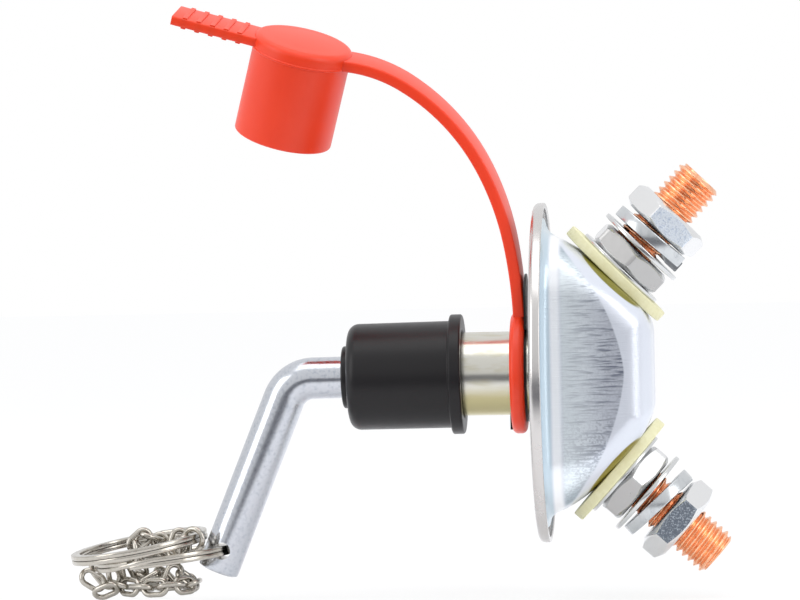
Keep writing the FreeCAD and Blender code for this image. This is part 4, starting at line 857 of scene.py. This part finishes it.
# Boot
# A moulded rubber sleeve that covers the end of the hub and goes with the key. Matt black,
# with a soft shine along its edges.
rubber = bpy.data.materials.new("black_rubber")
rubber.use_nodes = True
tree = rubber.node_tree
RUBBER_GRAIN = 1.43
spot = add(tree, "ShaderNodeTexCoord")
scale = add(tree, "ShaderNodeMapping", Vector=spot.outputs["Object"],
            Scale=[1000 / RUBBER_GRAIN] * 3)
noise = add(tree, "ShaderNodeTexNoise", Vector=scale, Scale=1.0, Detail=4.0)
gloss = add(tree, "ShaderNodeMapRange", Value=noise, To_Min=0.30, To_Max=0.42)
ripple = add(tree, "ShaderNodeBump", Strength=0.06, Distance=0.0002, Height=noise)
add(tree, "Principled BSDF", Base_Color=linear("#151315"), Specular_IOR_Level=0.32,
    Roughness=gloss, Normal=ripple)
boot = lathe("boot_sleeve", rounded([
    (4.62, -39.6, 0.2), (6.35, -39.6, 0.5), (6.35, -38.3, 0.25), (10.8, -38.3, 3.5),
    (10.9, -17.4, 0.3), (12.2, -17.4, 0.45), (12.2, -14.9, 0.45), (9.0, -14.9, 0.4),
    (9.0, -23.6, 0.4), (4.42, -23.6, 0.2)], steps=8), steps=160)
boot.data.transform(SAG)
boot.data.materials.append(rubber)
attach(boot, "boot")
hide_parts("key_boot")

# Tethered cap
# One moulding of soft red plastic: a ring on the hub, a strap that bends and twists, and a cup
# with a lid and a ribbed pull tab. Satin, and light passes a little way into it.
red = bpy.data.materials.new("red_soft_plastic")
red.use_nodes = True
tree = red.node_tree
FLOW_MARK = 6.25
spot = add(tree, "ShaderNodeTexCoord")
scale = add(tree, "ShaderNodeMapping", Vector=spot.outputs["Object"],
            Scale=[1000 / FLOW_MARK] * 3)
noise = add(tree, "ShaderNodeTexNoise", Vector=scale, Scale=1.0, Detail=3.0)
blend = add(tree, "ShaderNodeMix", data_type="RGBA", Factor=noise, A=linear("#F44018"),
            B=linear("#EE3A12"))
ripple = add(tree, "ShaderNodeBump", Strength=0.03, Distance=0.0003, Height=noise)
add(tree, "Principled BSDF", Base_Color=blend, Roughness=0.38, Subsurface_Weight=0.12,
    Subsurface_Radius=(0.003, 0.0008, 0.0005), Subsurface_Scale=1.0, Normal=ripple)
cap_parts = [lathe("cap_loop", rounded([
    (10.0, -5.0, 0.3), (12.3, -5.0, 1.1), (12.3, -2.1, 1.1), (10.0, -2.1, 0.1)], steps=6))]

# The strap runs in arcs, each given by its length and its turn in degrees
STRAP_ARCS = ((15.5, 9.4), (16.0, 16.0), (24.0, 30.6), (12.0, 23.0))
strap_length = sum(length for length, bend in STRAP_ARCS)
twist = math.radians(16.5)
lean = math.radians(91.0)
here = Vector((-3.25, 0, 11.4))
line = [here.copy()]
sides = [Vector((0, 1, 0))]
along = 0.0
steps = 14
for length, bend in STRAP_ARCS:
    for step in range(steps):
        mid = lean + math.radians(bend) / steps / 2
        here = here + Vector((math.cos(mid), 0, math.sin(mid))) * (length / steps)
        lean += math.radians(bend) / steps
        along += length / steps
        line.append(here.copy())
        flank = Vector((-math.sin(lean), 0, math.cos(lean)))
        now = twist * along / strap_length
        sides.append(Vector((0, math.cos(now), 0)) - flank * math.sin(now))
line.append(here + Vector((math.cos(lean), 0, math.sin(lean))) * 2.4)
sides.append(sides[-1])
cap_parts.append(swept("cap_strap", line, bar_section(4.4, 1.15, 0.35),
                       lambda index: sides[index]))

# The cup hangs from the strap's end; its own Z runs from its mouth to its lid
CUP = 10.25
LID_TOP = 20.0
TAB_MIDDLE = 18.15
tilt = math.radians(16.2)
out_way = Vector((math.cos(tilt), 0, -math.sin(tilt)))
cup_up = Vector((math.sin(tilt) * math.cos(twist), -math.sin(twist),
                 math.cos(tilt) * math.cos(twist)))
cup_turn = Matrix((out_way, cup_up.cross(out_way), cup_up)).transposed().to_4x4()
cup_frame = Matrix.Translation((here - out_way * CUP - cup_up * 18.05) * MM) @ cup_turn
crown = []
for step in range(1, 9):
    inward = 1 - step / 8
    crown.append((8.6 * inward, LID_TOP + 0.45 * (1 - inward ** 2), 0))
cap_parts.append(lathe("cap_cup", rounded(
    [(0.0, 16.9, 0), (8.5, 16.9, 0.6), (8.5, -1.1, 0.4), (10.1, -1.1, 0.45), (10.1, 16.75, 0.12),
     (10.4, 16.9, 0.12), (10.4, 17.2, 0.12), (CUP, 17.3, 0.1), (CUP, LID_TOP, 1.7)] + crown,
    False, 6), cup_frame, 128, False))
line = [Vector((-8.75 - 18.3 * step / 48, 0, TAB_MIDDLE)) for step in range(49)]
cap_parts.append(swept("cap_tab", line, bar_section(4.7, 0.95, 0.3), (0, 1, 0), place=cup_frame))
for step in range(5):
    middle = -(12.75 + 2.9 * step)
    line = [Vector((middle, side, TAB_MIDDLE)) for side in (-4.5, 4.5)]
    cap_parts.append(swept(f"cap_rib_{step}", line, bar_section(0.5, 1.2, 0.12, 2), (1, 0, 0),
                           place=cup_frame))


def joined(parts, name, finish):
    """Several meshes made one, in one finish."""
    bpy.ops.object.select_all(action="DESELECT")
    for piece in parts:
        piece.select_set(True)
    bpy.context.view_layer.objects.active = parts[0]
    bpy.ops.object.join()
    parts[0].name = name
    parts[0].data.materials.append(finish)
    return parts[0]


cap = joined(cap_parts, "red_cap", red)
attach(cap, "cap")
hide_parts("tether_cap")
dress("ring_liner", rubber)

# Split rings
# Two turns of flat-faced steel wire each, sprung together and nickel plated; the plating is
# bright and slightly yellow.
nickel = metal("nickel_plated_wire", "#B9B4AB", 0.20, 0.05, 1.2, (1, 1, 1), "#8F8878", 0.4, 0.05)
RING = 13.25


def split_ring(name, centre, slope, tip, turn):
    """Two fused turns of wire that step over each other at their ends."""
    path = []
    for step in range(201):
        part = step / 200
        angle = math.radians(turn + 718.0 * part)
        level = min(max(-0.5 + (part - 0.47) / 0.06, -0.5), 0.5)
        path.append((RING * math.cos(angle), RING * math.sin(angle), level))
    place = Matrix.Translation(centre * MM) \
        @ Matrix.Rotation(math.radians(math.hypot(slope, tip)), 4, Vector((tip, -slope, 0)))
    return swept(name, path, bar_section(0.49, 0.95, 0.22, 2), (0, 0, 1), place=place)


ring_slope = math.radians(6.4)
ring_centre = eye - Vector((math.cos(ring_slope), 0, math.sin(ring_slope))) * RING
ring = split_ring("ring_on_key", ring_centre, 6.4, -1.0, 250.0)
second = split_ring("ring_on_chain", ring_centre + Vector((-4.7, 0, 2.6)), 9.0, 3.0, 80.0)
for piece, node in ((ring, "key_ring"), (second, "free_ring")):
    piece.data.transform(SAG)
    piece.data.materials.append(nickel)
    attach(piece, "ring")
    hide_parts(node)

# Chain
# Welded oval links of steel wire, nickel plated; one is laid where each solid link lies, and
# the heap holds more of them than the solid chain has.
WIRE = 0.57
SMALL_BEND = 1.5


def chain_link(name, centre, ahead, across, run, bend):
    """One oval of round wire, its length along ahead."""
    path = []
    for sign in (1, -1):
        for step in range(13):
            angle = math.radians(-90 + 15 * step) + (0 if sign > 0 else math.pi)
            path.append((sign * run + bend * math.cos(angle), bend * math.sin(angle), 0))
    turn = Matrix((ahead, across, ahead.cross(across)))
    place = Matrix.Translation(centre) @ turn.transposed().to_4x4()
    return swept(name, path, round_section(WIRE, 10), (0, 0, 1), True, place)


solid = bmesh.new()
solid.from_mesh(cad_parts["key_chain"].data)
bmesh.ops.remove_doubles(solid, verts=solid.verts, dist=2e-6)
reached = set()
groups = []
for vertex in solid.verts:
    if vertex in reached:
        continue
    waiting = [vertex]
    reached.add(vertex)
    group = []
    while waiting:
        item = waiting.pop()
        group.append(item.co.copy())
        for edge in item.link_edges:
            other = edge.other_vert(item)
            if other not in reached:
                reached.add(other)
                waiting.append(other)
    groups.append(np.array(group))
solid.free()
links = []
for number, group in enumerate(groups):
    # The long and the middle axis of a link's points give its length and its width
    centre = group.mean(axis=0)
    spread = group - centre
    axes = np.linalg.eigh(spread.T @ spread)[1]
    ahead = axes[:, 2]
    across = axes[:, 1]
    reach = np.abs(spread @ ahead).max() / MM
    centre = centre + ahead * ((spread @ ahead).max() + (spread @ ahead).min()) / 2
    # The link at each end is a larger one
    bend = 2.1 if reach > 3.5 else SMALL_BEND
    links.append(chain_link(f"chain_link_{number}", Vector(centre), Vector(ahead), Vector(across),
                            reach - 0.5 - bend, bend))
for number, (spot, ahead, across) in enumerate((
        ((-92.2, -2.6, -40.0), (0.8, 0.2, -0.55), (0.3, 0.3, 0.9)),
        ((-89.4, -3.4, -42.2), (0.9, -0.2, 0.35), (0.1, 0.7, -0.7)),
        ((-87.4, -2.0, -39.6), (0.1, 0.3, -0.95), (0.9, 0.3, 0.2)),
        ((-80.4, -3.2, -40.0), (0.8, 0.4, 0.45), (0.3, -0.8, 0.5)),
        ((-77.4, -1.4, -39.9), (0.6, -0.4, -0.65), (0.5, 0.8, 0.1)),
        ((-75.4, -4.2, -39.4), (0.3, 0.5, 0.8), (0.9, 0.1, -0.4)),
        ((-72.6, -3.0, -40.4), (0.7, 0.3, -0.6), (0.1, 0.9, 0.4)),
        ((-81.0, 0.6, -32.6), (0.9, 0.1, -0.3), (0.2, 0.5, 0.85)),
        ((-77.6, 1.2, -32.9), (0.8, -0.5, 0.2), (0.1, 0.4, 0.9)),
        ((-74.4, -2.6, -32.6), (0.3, 0.2, 0.9), (0.9, 0.3, -0.2)),
        ((-72.9, -4.6, -33.6), (0.1, -0.5, 0.85), (0.6, 0.7, 0.2)))):
    ahead = Vector(ahead).normalized()
    across = (Vector(across) - ahead * Vector(across).dot(ahead)).normalized()
    links.append(chain_link(f"heap_link_{number}", Vector(spot) * MM, ahead, across, 1.0,
                            SMALL_BEND))
chain = joined(links, "link_chain", nickel)
chain.data.transform(SAG)
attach(chain, "ring")
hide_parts("key_chain")

# Inside the housing
# Moulded cam and insulating pieces in dark resin, the copper contact bridge, the spring and
# its seat. They are shown as the solids are.
resin = bpy.data.materials.new("moulded_resin")
resin.use_nodes = True
add(resin.node_tree, "Principled BSDF", Base_Color=linear("#2B2320"), Roughness=0.5)
for node, finish in (("cam_follower", resin), ("contact_bridge", copper),
                     ("spring_seat", zinc_washer), ("return_spring", spring_steel),
                     ("spring_insulator", resin), ("stud_bush_upper", resin),
                     ("stud_bush_lower", resin)):
    dress(node, finish)

bpy.context.view_layer.update()
